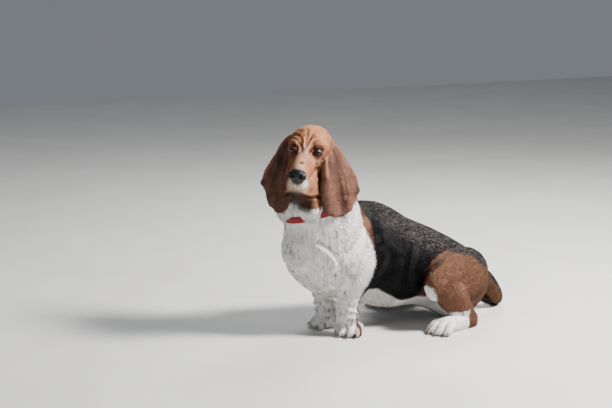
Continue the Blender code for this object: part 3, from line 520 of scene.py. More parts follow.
def sheet_object(name, points, thickness):
    """A leather of one thickness over a grid of points, thinner at its rim."""
    rows, columns = points.shape[0] - 1, points.shape[1] - 1
    normals = np.cross(np.gradient(points, axis=0), np.gradient(points, axis=1))
    normals /= np.linalg.norm(normals, axis=2)[:, :, None]
    half = np.full((rows + 1, columns + 1, 1), thickness / 2)
    half[-1] = half[:, 0] = half[:, -1] = thickness * 0.3
    bm = bmesh.new()
    a, b = (
        [[bm.verts.new(p) for p in row] for row in points + s * half * normals] for s in (1, -1)
    )
    for i in range(rows):
        for j in range(columns):
            for g in (a, b):
                bm.faces.new((g[i][j], g[i + 1][j], g[i + 1][j + 1]))
                bm.faces.new((g[i][j], g[i + 1][j + 1], g[i][j + 1]))
    rim = [(0, j) for j in range(columns)] + [(i, columns) for i in range(rows)]
    rim += [(rows, j) for j in range(columns, 0, -1)] + [(i, 0) for i in range(rows, 0, -1)]
    for (i, j), (k, m) in zip(rim, rim[1:] + rim[:1]):
        bm.faces.new((a[i][j], a[k][m], b[k][m]))
        bm.faces.new((a[i][j], b[k][m], b[i][j]))
    return mesh_object(name, bm)


CLAW = (
    ((0.024, 0.0155), 0.0044),
    ((0.030, 0.0148), 0.0040),
    ((0.035, 0.0118), 0.0031),
    ((0.0385, 0.0075), 0.0016),
)


def arrays_of(obj):
    count = len(obj.data.vertices)
    places, normals = np.zeros(count * 3), np.zeros(count * 3)
    obj.data.vertices.foreach_get("co", places)
    obj.data.vertices.foreach_get("normal", normals)
    return places.reshape(-1, 3), normals.reshape(-1, 3)


def set_places(obj, places):
    obj.data.vertices.foreach_set("co", places.ravel())
    obj.data.update()


def to_head(places):
    return (places - np.array(HEAD.translation)) @ np.array(HEAD.to_3x3())


# rounds of smoothing for voxels of this size: smaller ones take more
FLESH_ROUNDS = 36
FLESH_VOXEL = 0.003


def softness(places):
    """How much each point is smoothed: fully on the trunk, less on the head, least at the lids and paws."""
    local = to_head(places)
    head = np.clip((local[:, 0] + local[:, 2] + 0.13) / 0.05, 0, 1) * (places[:, 2] > 0.36)
    amount = 1 - 0.62 * head
    for side in (1, -1):
        d = length(local - np.array((EYE_PLACE[0], side * EYE_PLACE[1], EYE_PLACE[2])))
        amount *= np.clip((d - 0.014) / 0.014, 0.06, 1)
    amount *= 1 - 0.5 * np.clip((0.14 - places[:, 2]) / 0.06, 0, 1)
    low = np.clip((0.080 - places[:, 2]) / 0.03, 0, 1)
    for forward, left, _, _ in (*FORE_PAWS.values(), *HIND_PAWS.values()):
        d = length(places[:, :2] - np.array(at(forward, left, 0))[:2])
        amount *= 1 - 0.93 * low * np.clip((0.080 - d) / 0.02, 0, 1)
    return amount


def distance_to(points, path):
    best = np.full(len(points), 1.0)
    for a, b in zip(path, path[1:]):
        ab = b - a
        t = np.clip(((points - a) @ ab) / max(ab @ ab, 1e-12), 0, 1)
        best = np.minimum(best, length(points - (a + t[:, None] * ab)))
    return best


def sculpt(obj, strokes):
    """A stroke raises the surface along its path, or presses it in, by a height over a half width."""
    places, normals = arrays_of(obj)
    tree = BVHTree.FromObject(obj, bpy.context.evaluated_depsgraph_get())
    for path, width, height in strokes:
        path = np.array([tree.find_nearest(Vector(p))[0] for p in spline(path, 5)])
        reach = 2.6 * width
        inside = (places > path.min(0) - reach) & (places < path.max(0) + reach)
        near = np.nonzero(inside.all(axis=1))[0]
        fall = np.exp(-((distance_to(places[near], path) / width) ** 2))
        places[near] += normals[near] * (height * fall)[:, None]
    set_places(obj, places)


# along the lips from the middle to the corner of the mouth
LIPS = mm((117, 0, -83), (110, 12, -89), (92, 24, -99), (64, 34, -111), (36, 41, -113), (10, 46, -102))

# on the head's left side and mirrored: a path of forward, left and up, a half width and a height
FACE_STROKES = mm(
    # the socket and the folds over the eye
    (((36, 20, 4), (34, 30, -12), (28, 42, -4)), 9, -3),
    (((34, 15, -2), (30, 18, 13), (20, 30, 22), (8, 42, 15)), 3.6, 4.6),
    (((34, 10, 6), (26, 14, 24), (12, 30, 36), (-6, 48, 26)), 3.6, -3.4),
    (((26, 6, 20), (10, 12, 36), (-12, 30, 44), (-32, 46, 34)), 4, 2.2),
    (((24, 3, 18), (0, 5, 38), (-30, 12, 50)), 3, -2.4),
    # loose skin down the cheek and under the eye
    (((38, 24, -10), (34, 36, -20), (24, 46, -14)), 3.6, 2.4),
    (((40, 28, -22), (36, 38, -42), (26, 44, -66)), 4.2, -2.4),
    (((28, 40, -22), (18, 46, -44), (12, 48, -70)), 4.8, 2.6),
    (((12, 48, -18), (2, 52, -44), (0, 52, -74)), 4.2, -2.2),
    (((70, 30, -40), (52, 36, -62), (36, 42, -90)), 6, -1.8),
    # the groove of the upper lip
    (((118, 0, -52), (118, 0, -64), (117, 0, -80)), 2.4, -2),
)
# the line between the lips, and the swelling over it
FACE_STROKES += (
    (LIPS, 0.0034, -0.0046),
    (tuple((x + 0.002, y + 0.001, z + 0.010) for x, y, z in LIPS), 0.0048, 0.0028),
)
# forward, left and up of the whole dog
BODY_STROKES = mm(
    # the crease at the point of the shoulder, with a soft ridge below it, and down the front of the foreleg
    (((200, 118, 276), (172, 130, 258), (150, 134, 238), (138, 132, 214)), 6, -6),
    (((190, 124, 262), (164, 132, 243), (150, 134, 222)), 12, 2.2),
    (((138, 130, 205), (146, 118, 165), (149, 110, 113)), 7, -4),
    # folds of the throat beside the dewlap
    (((240, 84, 415), (250, 70, 385), (248, 64, 350)), 5, -6),
    (((200, 128, 405), (196, 132, 372), (190, 130, 348)), 8, -4),
    # the breast's swelling, and folds of the shoulder and ribs
    (((252, 22, 262), (214, 20, 187), (190, 20, 148), (165, 20, 110)), 14, 6),
    (((10, 150, 290), (-10, 145, 230), (10, 140, 175)), 12, -6),
    (((120, 140, 270), (105, 135, 225), (115, 125, 180)), 12, -4),
    (((24, 140, 200), (22, 135, 165)), 12, 5),
    # before the thigh and under it
    (((-105, 135, 240), (-85, 135, 180), (-95, 120, 110), (-130, 110, 70)), 14, -6),
    (((-200, 150, 60), (-250, 130, 55), (-300, 110, 60)), 10, -5),
)
# down a foreleg: the height of each ring of loose skin over the wrist, and how far it stands out
WRIST_RINGS = mm((96, 1.4), (88, -2.2), (79, 1.8), (69, -2.4), (58, 1.4))
RING_WIDTH = 0.0048
# a foreleg's radius there
WRIST = 0.032


def wrist_ring(side, up):
    """A slanting ring round a foreleg at this height."""
    leg = np.array(FORELEG[side])
    forward, left = (np.interp(-up, -leg[:, 2], leg[:, k]) for k in (0, 1))
    angles = np.linspace(0, 2 * math.pi, 9)
    return [
        at(forward + WRIST * math.cos(a), left + WRIST * math.sin(a), up + 0.006 * math.sin(2 * a))
        for a in angles
    ]


def all_strokes():
    strokes = []
    for side in (1, -1):
        for path, width, height in FACE_STROKES:
            strokes.append(([in_head(x, side * y, z) for x, y, z in path], width, height))
        for path, width, height in BODY_STROKES:
            strokes.append(([at(f, side * l, u) for f, l, u in path], width, height))
        for up, height in WRIST_RINGS:
            strokes.append((wrist_ring(side, up), RING_WIDTH, height))
    return strokes


def flesh_skin(voxel):
    """The whole body in one closed skin, without the lids, nose, ears and claws."""
    skin = joined("flesh", body_forms())
    remesh(skin, voxel)
    rounds = round(FLESH_ROUNDS * (FLESH_VOXEL / voxel) ** 2)
    smooth_where(skin, softness(arrays_of(skin)[0]), rounds, 20)
    sculpt(skin, all_strokes())
    return skin

# the voxels of the skin as a whole, and of the skin once the lids and ears are on it
BODY_VOXEL = 0.0016
SKIN_VOXEL = 0.0012
SKIN_TRIANGLES = 190000
TUFT_SHARE = 1.0
PIECE_TUFTS = 48000
COAT_DEPTH = 0.0012
# how far the skin and the tufts stay above the floor
FLOOR_GAP = 0.0002
# the side of a tuft's patch on the unwrap
PATCH = 0.003
rng = np.random.default_rng(7)


def thin_out(obj, triangles):
    """Fewer, larger faces on the trunk: the head and paws keep more of theirs."""
    places, _ = arrays_of(obj)
    local = to_head(places)
    fine = share(local[:, 0] + local[:, 2], -0.16, -0.10) * (places[:, 2] > 0.36)
    fine = np.maximum(fine, 0.8 * share(-places[:, 2], -0.12, -0.06))
    weigh(obj, np.round((1 - 0.5 * fine) * 10).astype(int), 10)
    ratio = triangles / sum(len(p.vertices) - 2 for p in obj.data.polygons)
    group = {"vertex_group": "where", "vertex_group_factor": 1.0}
    shaped(obj, "DECIMATE", ratio=ratio, use_collapse_triangulate=True, **group)


def distances(places, points):
    """How far each place is from the nearest of these points, up to 0.05."""
    out = np.full(len(places), 0.05)
    low, high = points.min(0) - 0.05, points.max(0) + 0.05
    near = np.nonzero(((places > low) & (places < high)).all(axis=1))[0]
    for block in np.array_split(near, max(1, len(near) // 2000)):
        gaps = places[block][:, None] - points[None]
        out[block] = np.minimum(out[block], np.sqrt((gaps**2).sum(axis=2)).min(axis=1))
    return out


# on the head's left side and mirrored, creases too fine for the solid: a path, a half width and a height
FINE_STROKES = mm(
    (((42, 3, -12), (22, 4, 20), (0, 4, 40), (-30, 5, 50)), 2.2, -0.6),
    (((36, 10, 4), (18, 12, 30), (-6, 16, 44), (-30, 24, 50)), 2.4, -0.6),
    (((30, 8, 10), (10, 8, 36), (-10, 9, 46)), 2.6, 0.5),
    (((36, 13, 6), (26, 23, 27), (9, 38, 28), (-8, 48, 12)), 1.9, -2.4),
    (((36, 20, -12), (34, 32, -24), (24, 43, -20)), 1.8, -1.8),
    (((40, 24, -18), (36, 35, -32), (24, 46, -30)), 2.2, 1.4),
    (((42, 32, -30), (32, 42, -56), (24, 47, -84)), 2.4, -1.9),
    (((30, 44, -36), (20, 48, -60), (14, 49, -88)), 2.4, -1.6),
)
# creases of the loose skin over the wrist, between WRIST_RINGS: height, and how far each stands out
WRIST_CREASES = mm((101, -1.4), (92.5, -1.2), (83.5, -2.4), (74, 1.2), (63.5, -2.2))
CREASE_WIDTH = 0.0024
# down an ear's face: the column of its grid, the rows, a half width and a height
EAR_ROWS, EAR_COLUMNS = 60, 44
EAR_LINES = (
    (5, (2, 32), 0.0045, 0.0030),
    (11, (3, 36), 0.0050, -0.0022),
    (19, (14, 50), 0.0060, 0.0020),
    (27, (10, 48), 0.0055, -0.0022),
    (36, (14, 50), 0.0060, 0.0020),
)


def ear_lines(side, grid):
    """Ridges and grooves on the outer face of a leather."""
    facing = np.cross(np.gradient(grid, axis=0), np.gradient(grid, axis=1))
    facing /= np.linalg.norm(facing, axis=2)[:, :, None]
    facing *= np.sign(facing @ np.array(HEAD_TURN @ Vector((0, side, 0))))[:, :, None]
    face = grid + 0.003 * facing
    return [
        ([tuple(face[row, column]) for row in range(*rows, 4)], *rest)
        for column, rows, *rest in EAR_LINES
    ]


eye_centres = [np.array(eye_place(side).translation) for side in (1, -1)]
# in the head: from where the skin is bare round the nose, and from where no tuft grows there
NOSE_FRONT = (0.114, 0, -0.036)
NOSE_LOWER = (0.114, 0, -0.038)


def eye_distance(places):
    return np.min([length(places - c) for c in eye_centres], axis=0)


# the skin, with its lids and ears
lids = lid_forms(1) + lid_forms(-1)
ear_grids = {side: ear_points(side, EAR_ROWS, EAR_COLUMNS) for side in (1, -1)}
ears = [sheet_object("ear", ear_grids[side], EAR_THICKNESS) for side in (1, -1)]
skin = joined("skin", [flesh_skin(BODY_VOXEL), *lids, *ears])
remesh(skin, SKIN_VOXEL)
roots = np.concatenate([grid[:8:2, ::4].reshape(-1, 3) for grid in ear_grids.values()])
places, _ = arrays_of(skin)
smooth_where(skin, np.clip(0.15 + 0.85 * (1 - share(distances(places, roots), 0.006, 0.016)), 0, 1), 10)
thin_out(skin, SKIN_TRIANGLES)
for side in (1, -1):
    sculpt(skin, [([in_head(x, side * y, z) for x, y, z in path], *rest) for path, *rest in FINE_STROKES])
    sculpt(skin, [(wrist_ring(side, up), CREASE_WIDTH, height) for up, height in WRIST_CREASES])
    sculpt(skin, ear_lines(side, ear_grids[side]))
places, normals = arrays_of(skin)
eye_gap = eye_distance(places)
local = to_head(places)
nose_gap = length(local - np.array(NOSE_FRONT))
bare = np.minimum(share(eye_gap, 0.014, 0.020), share(nose_gap, 0.018, 0.026))
places -= normals * (COAT_DEPTH * (0.15 + 0.85 * bare))[:, None]
places[:, 2] = np.maximum(places[:, 2], FLOOR_GAP)
set_places(skin, places)
skin.data.shade_smooth()
print("skin", len(skin.data.polygons))

# the saddle's front edge by height, and how wide the tan band before it is
SADDLE_FRONT = mm((100, 85), (130, 77), (149, 61), (190, 36), (255, 33), (334, 34), (420, 22))
BAND_WIDTH = mm((200, -10), (255, 8), (290, 22), (334, 23), (360, 30), (420, 40))
# by how far forward: the height where the black ends over the belly, and where the tan of the thigh ends
BELLY_EDGE = mm((-160, 89), (-120, 84), (-80, 80), (-53, 94), (10, 130), (100, 131))
THIGH_TOP = mm(
    *((-420, 140), (-370, 150), (-330, 163), (-280, 200)),
    *((-226, 216), (-180, 205), (-144, 180), (-130, 165)),
)
THIGH_FRONT = -0.134
THIGH_BULGE = 0.035
# forward and up along the white stripe of the thigh, and half its width
STRIPE = mm((-114, 130), (-121, 112), (-141, 80), (-162, 56), (-180, 40))
STRIPE_WIDTH = 0.0085


def table(rows, at_values):
    rows = np.array(rows)
    return np.interp(at_values, rows[:, 0], rows[:, 1])


def path_gap(points, path):
    """How far each point is from a path in the same plane."""
    flat = np.zeros((len(points), 3))
    flat[:, :2] = points
    return distance_to(flat, np.array([(*p, 0.0) for p in path]))


tail_path = np.array([at(*row[:3]) for row in TAIL])
ear_middle = np.concatenate([grid[::2, ::2].reshape(-1, 3) for grid in ear_grids.values()])
# along the front and rear edges of each ear, where a painted highlight lightens the leather
ear_rims = [rim for grid in ear_grids.values() for rim in (grid[2:30, 5], grid[10:52, -2])]
skin_tree = BVHTree.FromObject(skin, bpy.context.evaluated_depsgraph_get())


def on_skin(points):
    """The nearest points of the skin, along a smooth path through these."""
    return np.array([skin_tree.find_nearest(Vector(p))[0] for p in spline(points, 4)])


lip_path = {side: on_skin([in_head(x, side * y, z) for x, y, z in LIPS]) for side in (1, -1)}


# the plane that parts the head from the neck: how far behind the eyes it lies, and which way it faces
NECK_PLANE = 0.125
NECK_WAY = (0.766, 0.643)
# in the head: the nose's middle, the middle of the pale muzzle, the brown spot and the stain below an eye
NOSE_MIDDLE = (0.112, 0, -0.040)
PALE_MIDDLE = (0.100, 0, -0.060)
SPOT_MIDDLE = (0.080, 0.003, -0.017)
TEAR = mm((30, 30, -12), (34, 36, -30), (30, 42, -50))
# what stands for a place that a marking doesn't reach
OUTSIDE = -0.02


def before_neck(local):
    """How far in front of that plane each place of the head is."""
    return NECK_WAY[0] * (local[:, 0] + NECK_PLANE) + NECK_WAY[1] * local[:, 2]


def lip_distance(places):
    return np.minimum(distance_to(places, lip_path[1]), distance_to(places, lip_path[-1]))


def body_marks(places, upward, head):
    """How far inside the black, tan, white and grey each place lies, or outside where it is below 0."""
    f, l, u = -places[:, 1], np.abs(places[:, 0]), places[:, 2]
    front = table(SADDLE_FRONT, u)
    belly = u - table(BELLY_EDGE, f)
    bulge = THIGH_BULGE * share(l, 0.118, 0.132)
    thigh = np.minimum(table(THIGH_TOP, f) - u, THIGH_FRONT + bulge - f)
    outer = l - 0.060 - 0.10 * np.clip(-f - 0.30, 0, 0.1)
    thigh = np.where(u > 0.10, np.minimum(thigh, outer), thigh)
    on_tail = np.minimum(0.034 - distance_to(places, tail_path), -0.375 - f)
    # the saddle ends at the thigh, goes on over the rump and along the top of the tail
    saddle = np.minimum(np.minimum(front - f, belly), -thigh)
    rump = np.minimum(-0.30 - f, u - 0.075)
    saddle = np.maximum(saddle, np.minimum(rump, 0.012 * (upward - 0.50)))
    saddle = np.where(on_tail > 0, 0.014 * (upward - 0.10), saddle)
    # tan on the head, the nape, before the saddle, on the thighs and below the tail
    nape = np.minimum(u - 0.400, 0.170 - f)
    band = np.minimum(f - front + 0.020, front + table(BAND_WIDTH, u) - f)
    under = 0.020 * share(belly, 0.0, 0.02)
    tan = np.maximum.reduce([np.minimum(head, 0.04), np.minimum(nape, u - 0.40), band, thigh + under])
    tan = np.where(on_tail > 0, np.maximum(tan, on_tail), tan)
    tan = np.where((l < 0.06) & (f < -0.1) & (f > -0.30) & (u < 0.05), OUTSIDE, tan)
    # white over the tan: the thigh's stripe, the hind feet, the tail's tip and the belly
    stripe = STRIPE_WIDTH - path_gap(np.column_stack([f, u]), STRIPE)
    stripe = np.where(l > 0.124 - 0.9 * np.clip(0.112 - u, 0, 0.06), stripe, OUTSIDE)
    feet = np.where(f < -0.08, np.minimum(0.056 - u, f + 0.247), OUTSIDE)
    tip = np.where(on_tail > 0, 0.035 - length(places - tail_path[-1]), OUTSIDE)
    white = np.maximum.reduce([stripe, feet, tip])
    white = np.where((f < -0.06) & (f > -0.30) & (l < 0.115), np.maximum(white, -belly), white)
    grey = np.minimum.reduce([0.02 - belly, 0.072 - f, f + 0.088])
    return {"black": saddle, "tan": tan, "white": white, "grey": grey}


def face_marks(places, local, head, ear):
    """The share of the face's pale, dark and pink at each place, and of its darker brown: the real spot
    over the nose, and painted shade on the cheeks, round the eyes and below the cheeks.
    """
    x, y, z = local[:, 0], np.abs(local[:, 1]), local[:, 2]
    pale = 1 - share(length((local - np.array(PALE_MIDDLE)) * (1.2, 1.0, 0.95)), 0.016, 0.040)
    bridge = (1 - share(y, 0.004, 0.020)) * share(x, -0.01, 0.05) * share(z, -0.04, -0.015)
    pale = np.maximum(pale, 0.36 * bridge) * (head > -0.01)
    # dark round the eyes and nose, along the lips, on the chin and below the eyes
    eye = eye_distance(places)
    dark = 1 - share(eye, 0.0135, 0.0205)
    dark = np.maximum(dark, (1 - share(lip_distance(places), 0.002, 0.007)) * (head > -0.03))
    lip_line = np.interp(y, [row[1] for row in LIPS[:-1]], [row[2] for row in LIPS[:-1]])
    chin = share(lip_line - z, -0.007, 0.001) * share(x, 0.018, 0.045) * share(z, -0.150, -0.135)
    chin *= (1 - ear) * (1 - share(y, 0.034, 0.052))
    dark = np.maximum(dark, 0.95 * chin)
    dark = np.maximum(dark, 1 - share(length(local - np.array(NOSE_MIDDLE)), 0.018, 0.024))
    tear = distance_to(places, np.array([in_head(*p) for p in TEAR]))
    dark = np.maximum(dark, 0.35 * (1 - share(tear, 0.002, 0.010)))
    # painted shade on the sides of the cheeks, round the eyes and below the cheeks, and the real brown spot
    # over the nose
    spot_and_shade = 0.38 * share(y, 0.020, 0.046) * (1 - share(z, 0.000, 0.030))
    spot_and_shade = np.maximum(spot_and_shade, 0.75 * (1 - share(eye, 0.017, 0.032)))
    spot_and_shade = np.maximum(spot_and_shade, 0.50 * share(-z, 0.060, 0.100) * share(x, 0.0, 0.03))
    spot = 1 - share(length((local - np.array(SPOT_MIDDLE)) * (1, 1, 0.6)), 0.005, 0.011)
    spot_and_shade = np.maximum(spot_and_shade, spot)
    # the inside of the lower lids
    pink = np.zeros(len(places))
    for side in (1, -1):
        inside = np.array(eye_place(side).inverted() @ Matrix()).astype(float)
        own = places @ inside[:3, :3].T + inside[:3, 3]
        below = share(-own[:, 2], 0.001, 0.006) * (1 - share(length(own), 0.0128, 0.0145))
        pink = np.maximum(pink, below)
    return {"pale": pale * (1 - spot), "dark": dark, "pink": pink, "spot_and_shade": spot_and_shade}


def fields(places, normals):
    """The coat's markings, with its painted shade, sheen and highlights, at each place: distances inside
    the body's, and shares of all others.
    """
    f, u = -places[:, 1], places[:, 2]
    local = to_head(places)
    head = np.minimum(before_neck(local), local[:, 2] + 0.133)
    ear = 1 - share(distances(places, ear_middle), 0.0055, 0.012)
    ear *= share(-u, -0.555, -0.535)
    # lighter along the ears' edges: a painted highlight
    rim = np.min([distance_to(places, path) for path in ear_rims], axis=0)
    out = body_marks(places, normals[:, 2], head) | face_marks(places, local, head, ear)
    out |= {
        "ear": ear,
        "rim": (1 - share(rim, 0.004, 0.011)) * ear,
        "head": share(head, -0.01, 0.01),
        "tick": 0.35 + 0.5 * share(f, 0.02, 0.06) * share(-u, -0.30, -0.10) + 0.25 * share(u, 0.24, 0.34),
        # lighter grey over the top of the saddle: partly real grizzled hairs, partly a painted sheen of the
        # light from above
        "fleck_and_sheen": share(u - 0.57 * f, 0.285, 0.330) * share(-f, -0.05, 0.06),
    }
    return {name: np.clip(values, -0.05, 1.0) for name, values in out.items()}


def coat_way(places, normals):
    """The way that the coat lies at each place, along the skin."""
    f, u = -places[:, 1], places[:, 2]
    local = to_head(places)
    way = np.tile(np.array((0.0, 1.0, -0.45)), (len(places), 1))

    def turned(way, amount, other):
        return way * (1 - amount)[:, None] + np.array(other) * amount[:, None]

    way = turned(way, share(f, 0.06, 0.16), (0.0, 0.15, -1.0))
    way = turned(way, share(-u, -0.20, -0.14) * share(f, 0.0, 0.03), (0.0, 0.1, -1.0))
    way = turned(way, share(-f, 0.13, 0.18) * share(-u, -0.19, -0.13), (0.0, 0.55, -1.0))
    lower = share(-local[:, 2], -0.01, 0.06)
    own = np.array((-1.0, 0.0, -0.15)) + np.outer(lower, np.array((0.1, 0.0, -0.7)))
    head = share(before_neck(local), -0.01, 0.02) * (u > 0.38)
    way = turned(way, head, own @ np.array(HEAD.to_3x3()).T)
    way = turned(way, 1 - share(distances(places, ear_middle), 0.0055, 0.014), (0.0, 0.0, -1.0))
    for a, b in zip(tail_path, tail_path[1:]):
        near = (1 - share(distance_to(places, np.array((a, b))), 0.020, 0.034)) * (f < -0.37)
        way = turned(way, near, (b - a) / np.linalg.norm(b - a))
    for paws in (FORE_PAWS, HIND_PAWS):
        for paw in paws.values():
            place = paw_place(*paw)
            centre = np.array(place.translation)
            toes = np.array((place.to_3x3() @ Vector((1, 0, -0.35))).normalized())
            near = 1 - share(length((places - centre) * (1, 1, 0.9)), 0.045, 0.065)
            way = turned(way, near, toes)
    swirl = 0.22 * np.sin(31 * places[:, 1] + 17 * places[:, 2])
    swirl = swirl + 0.16 * np.sin(47 * places[:, 0] - 39 * places[:, 2])
    way = unit(way - normals * (way * normals).sum(axis=1)[:, None])
    return unit(way + np.cross(normals, way) * swirl[:, None])


def write_fields(mesh, values):
    for name, numbers in values.items():
        attribute = mesh.attributes.new(name, "FLOAT", "POINT")
        attribute.data.foreach_set("value", numbers.astype(np.float32))


def write_rest(mesh, points):
    attribute = mesh.attributes.new("rest", "FLOAT_VECTOR", "POINT")
    attribute.data.foreach_set("vector", points.astype(np.float32).ravel())


places, normals = arrays_of(skin)
skin_fields = fields(places, normals)
skin_way = coat_way(places, normals)
write_fields(skin.data, skin_fields | {"shade": np.full(len(places), 0.5)})
write_rest(skin.data, places)

# an unwrap of the skin's own shape
bpy.context.view_layer.objects.active = skin
skin.select_set(True)
skin.data.uv_layers.new(name="OFBake")
bpy.ops.object.mode_set(mode="EDIT")
bpy.ops.mesh.select_all(action="SELECT")
bpy.ops.uv.smart_project(angle_limit=math.radians(66), island_margin=0.003)
bpy.ops.object.mode_set(mode="OBJECT")

# a tuft's length on the trunk, near the floor, on the tail, head, muzzle, ears and paws
BODY_TUFT, LOW_TUFT, TAIL_TUFT = 0.0105, 0.0085, 0.013
HEAD_TUFT, MUZZLE_TUFT, EAR_TUFT, PAW_TUFT = 0.0060, 0.0038, 0.0060, 0.0048
LOW_HEIGHT = 0.14
# tufts to a square metre, and how many more on the head, ears and paws
BODY_CROWD, HEAD_CROWD, EAR_CROWD, PAW_CROWD = 200e3, 300e3, 120e3, 220e3
# how far a tuft's root lies in the skin, and its width: a share of its length and what is added
SINK = 0.0004
WIDTH_SHARE, WIDTH_MORE = 0.085, 0.00018

# the tufts grow from the skin's triangles
count = len(skin.data.polygons)
corners = np.zeros(count * 3, int)
skin.data.polygons.foreach_get("vertices", corners)
corners = corners.reshape(-1, 3)
flat_uvs = np.zeros(count * 6)
skin.data.uv_layers["OFBake"].data.foreach_get("uv", flat_uvs)
flat_uvs = flat_uvs.reshape(-1, 3, 2)
edge_one = places[corners[:, 1]] - places[corners[:, 0]]
edge_two = places[corners[:, 2]] - places[corners[:, 0]]
areas = 0.5 * length(np.cross(edge_one, edge_two))

local = to_head(places)
on_head = skin_fields["head"] * (places[:, 2] > 0.37)
on_ear = skin_fields["ear"]
muzzle = on_head * share(local[:, 0], 0.01, 0.06)
paws = share(-places[:, 2], -0.060, -0.040) * (np.abs(places[:, 1]) < 0.30)
eye_gap = eye_distance(places)
lip_gap = lip_distance(places)
nose_gap = length(local - np.array(NOSE_LOWER))
tail_near = (distance_to(places, tail_path) < 0.034) & (places[:, 1] > 0.375)
lengths = np.where(places[:, 2] < LOW_HEIGHT, LOW_TUFT, BODY_TUFT)
lengths = np.where(tail_near, TAIL_TUFT, lengths)
for amount, own in ((on_head, HEAD_TUFT), (muzzle, MUZZLE_TUFT), (on_ear, EAR_TUFT), (paws, PAW_TUFT)):
    lengths = lengths * (1 - amount) + own * amount
lengths *= 0.45 + 0.55 * share(eye_gap, 0.016, 0.030)
thick = BODY_CROWD + (HEAD_CROWD * on_head + EAR_CROWD * on_ear + PAW_CROWD * paws)
thick *= share(eye_gap, 0.0135, 0.0150) * share(nose_gap, 0.020, 0.023) * share(lip_gap, 0.0012, 0.0030)
thick *= places[:, 2] > 0.002
wanted = areas * thick[corners].mean(axis=1) * TUFT_SHARE
grown = rng.poisson(wanted)
faces = np.repeat(np.arange(count), grown)
mix = rng.random((len(faces), 2))
mix = np.where(mix.sum(axis=1)[:, None] > 1, 1 - mix, mix)
weights = np.column_stack([1 - mix.sum(axis=1), mix])


def at_roots(values):
    """A value of the skin's points, taken between the three around each root."""
    picked = values[corners[faces]]
    return (picked * (weights[:, :, None] if values.ndim == 2 else weights)).sum(axis=1)


root = at_roots(places)
normal = unit(at_roots(normals))
way = unit(at_roots(skin_way))
spin = rng.normal(0, 0.16, len(root))
way = unit(way + np.cross(normal, way) * spin[:, None])
way = unit(way - normal * (way * normal).sum(axis=1)[:, None])
across = np.cross(normal, way)
long = at_roots(lengths) * rng.uniform(0.75, 1.25, len(root))
wide = long * WIDTH_SHARE * rng.uniform(0.8, 1.2, len(root)) + WIDTH_MORE
lift = long * rng.uniform(0.05, 0.17, len(root))
tuft_points = np.stack(
    [
        root - across * wide[:, None] / 2 - normal * SINK,
        root + across * wide[:, None] / 2 - normal * SINK,
        root + way * (long * 0.30)[:, None] + normal * (lift * 0.45 + 0.00022)[:, None],
        root + way * long[:, None] + normal * (lift * 0.75)[:, None],
    ],
    axis=1,
)
tuft_points[:, :, 2] = np.maximum(tuft_points[:, :, 2], FLOOR_GAP)
tuft_uvs = (flat_uvs[faces] * weights[:, :, None]).sum(axis=1)
shade = rng.random(len(root))
root_fields = {name: at_roots(values) for name, values in skin_fields.items()}
TUFT_FACES = np.array(((0, 2, 1), (0, 3, 2), (1, 2, 3), (0, 1, 3)))
PATCH_CORNERS = np.array(((-0.5, -0.5), (0.5, -0.5), (0.0, 0.0), (0.0, 0.5))) * PATCH


def tuft_piece(name, chosen):
    """Thin closed tufts in one mesh, each with a patch of the unwrap at its root."""
    total = len(chosen)
    mesh = bpy.data.meshes.new(name)
    mesh.vertices.add(total * 4)
    mesh.vertices.foreach_set("co", tuft_points[chosen].astype(np.float32).ravel())
    order = (np.arange(total)[:, None, None] * 4 + TUFT_FACES[None]).astype(np.int32)
    mesh.loops.add(total * 12)
    mesh.loops.foreach_set("vertex_index", order.ravel())
    mesh.polygons.add(total * 4)
    mesh.polygons.foreach_set("loop_start", np.arange(0, total * 12, 3, dtype=np.int32))
    mesh.update(calc_edges=True)
    layer = mesh.uv_layers.new(name="OFBake")
    spots = tuft_uvs[chosen][:, None, None] + PATCH_CORNERS[TUFT_FACES][None]
    layer.data.foreach_set("uv", spots.astype(np.float32).ravel())
    own = {name: np.repeat(values[chosen], 4) for name, values in root_fields.items()}
    write_fields(mesh, own | {"shade": np.repeat(shade[chosen], 4)})
    write_rest(mesh, np.repeat(root[chosen], 4, axis=0))
    mesh.shade_smooth()
    obj = bpy.data.objects.new(name, mesh)
    DOG.objects.link(obj)
    return obj


REGIONS = ("head", "front", "middle", "rear")
head_roots = (root_fields["head"] > 0.5) | (root_fields["ear"] > 0.5)
region = np.where(head_roots, 0, np.where(root[:, 1] < -0.06, 1, np.where(root[:, 1] < 0.11, 2, 3)))
coats = []
for k, name in enumerate(REGIONS):
    inside = np.nonzero(region == k)[0]
    parts = max(1, math.ceil(len(inside) / PIECE_TUFTS))
    for j, chosen in enumerate(np.array_split(inside, parts)):
        coats.append(tuft_piece(f"coat_{name}_{j + 1}", chosen))
print("tufts", len(root), "pieces", len(coats))


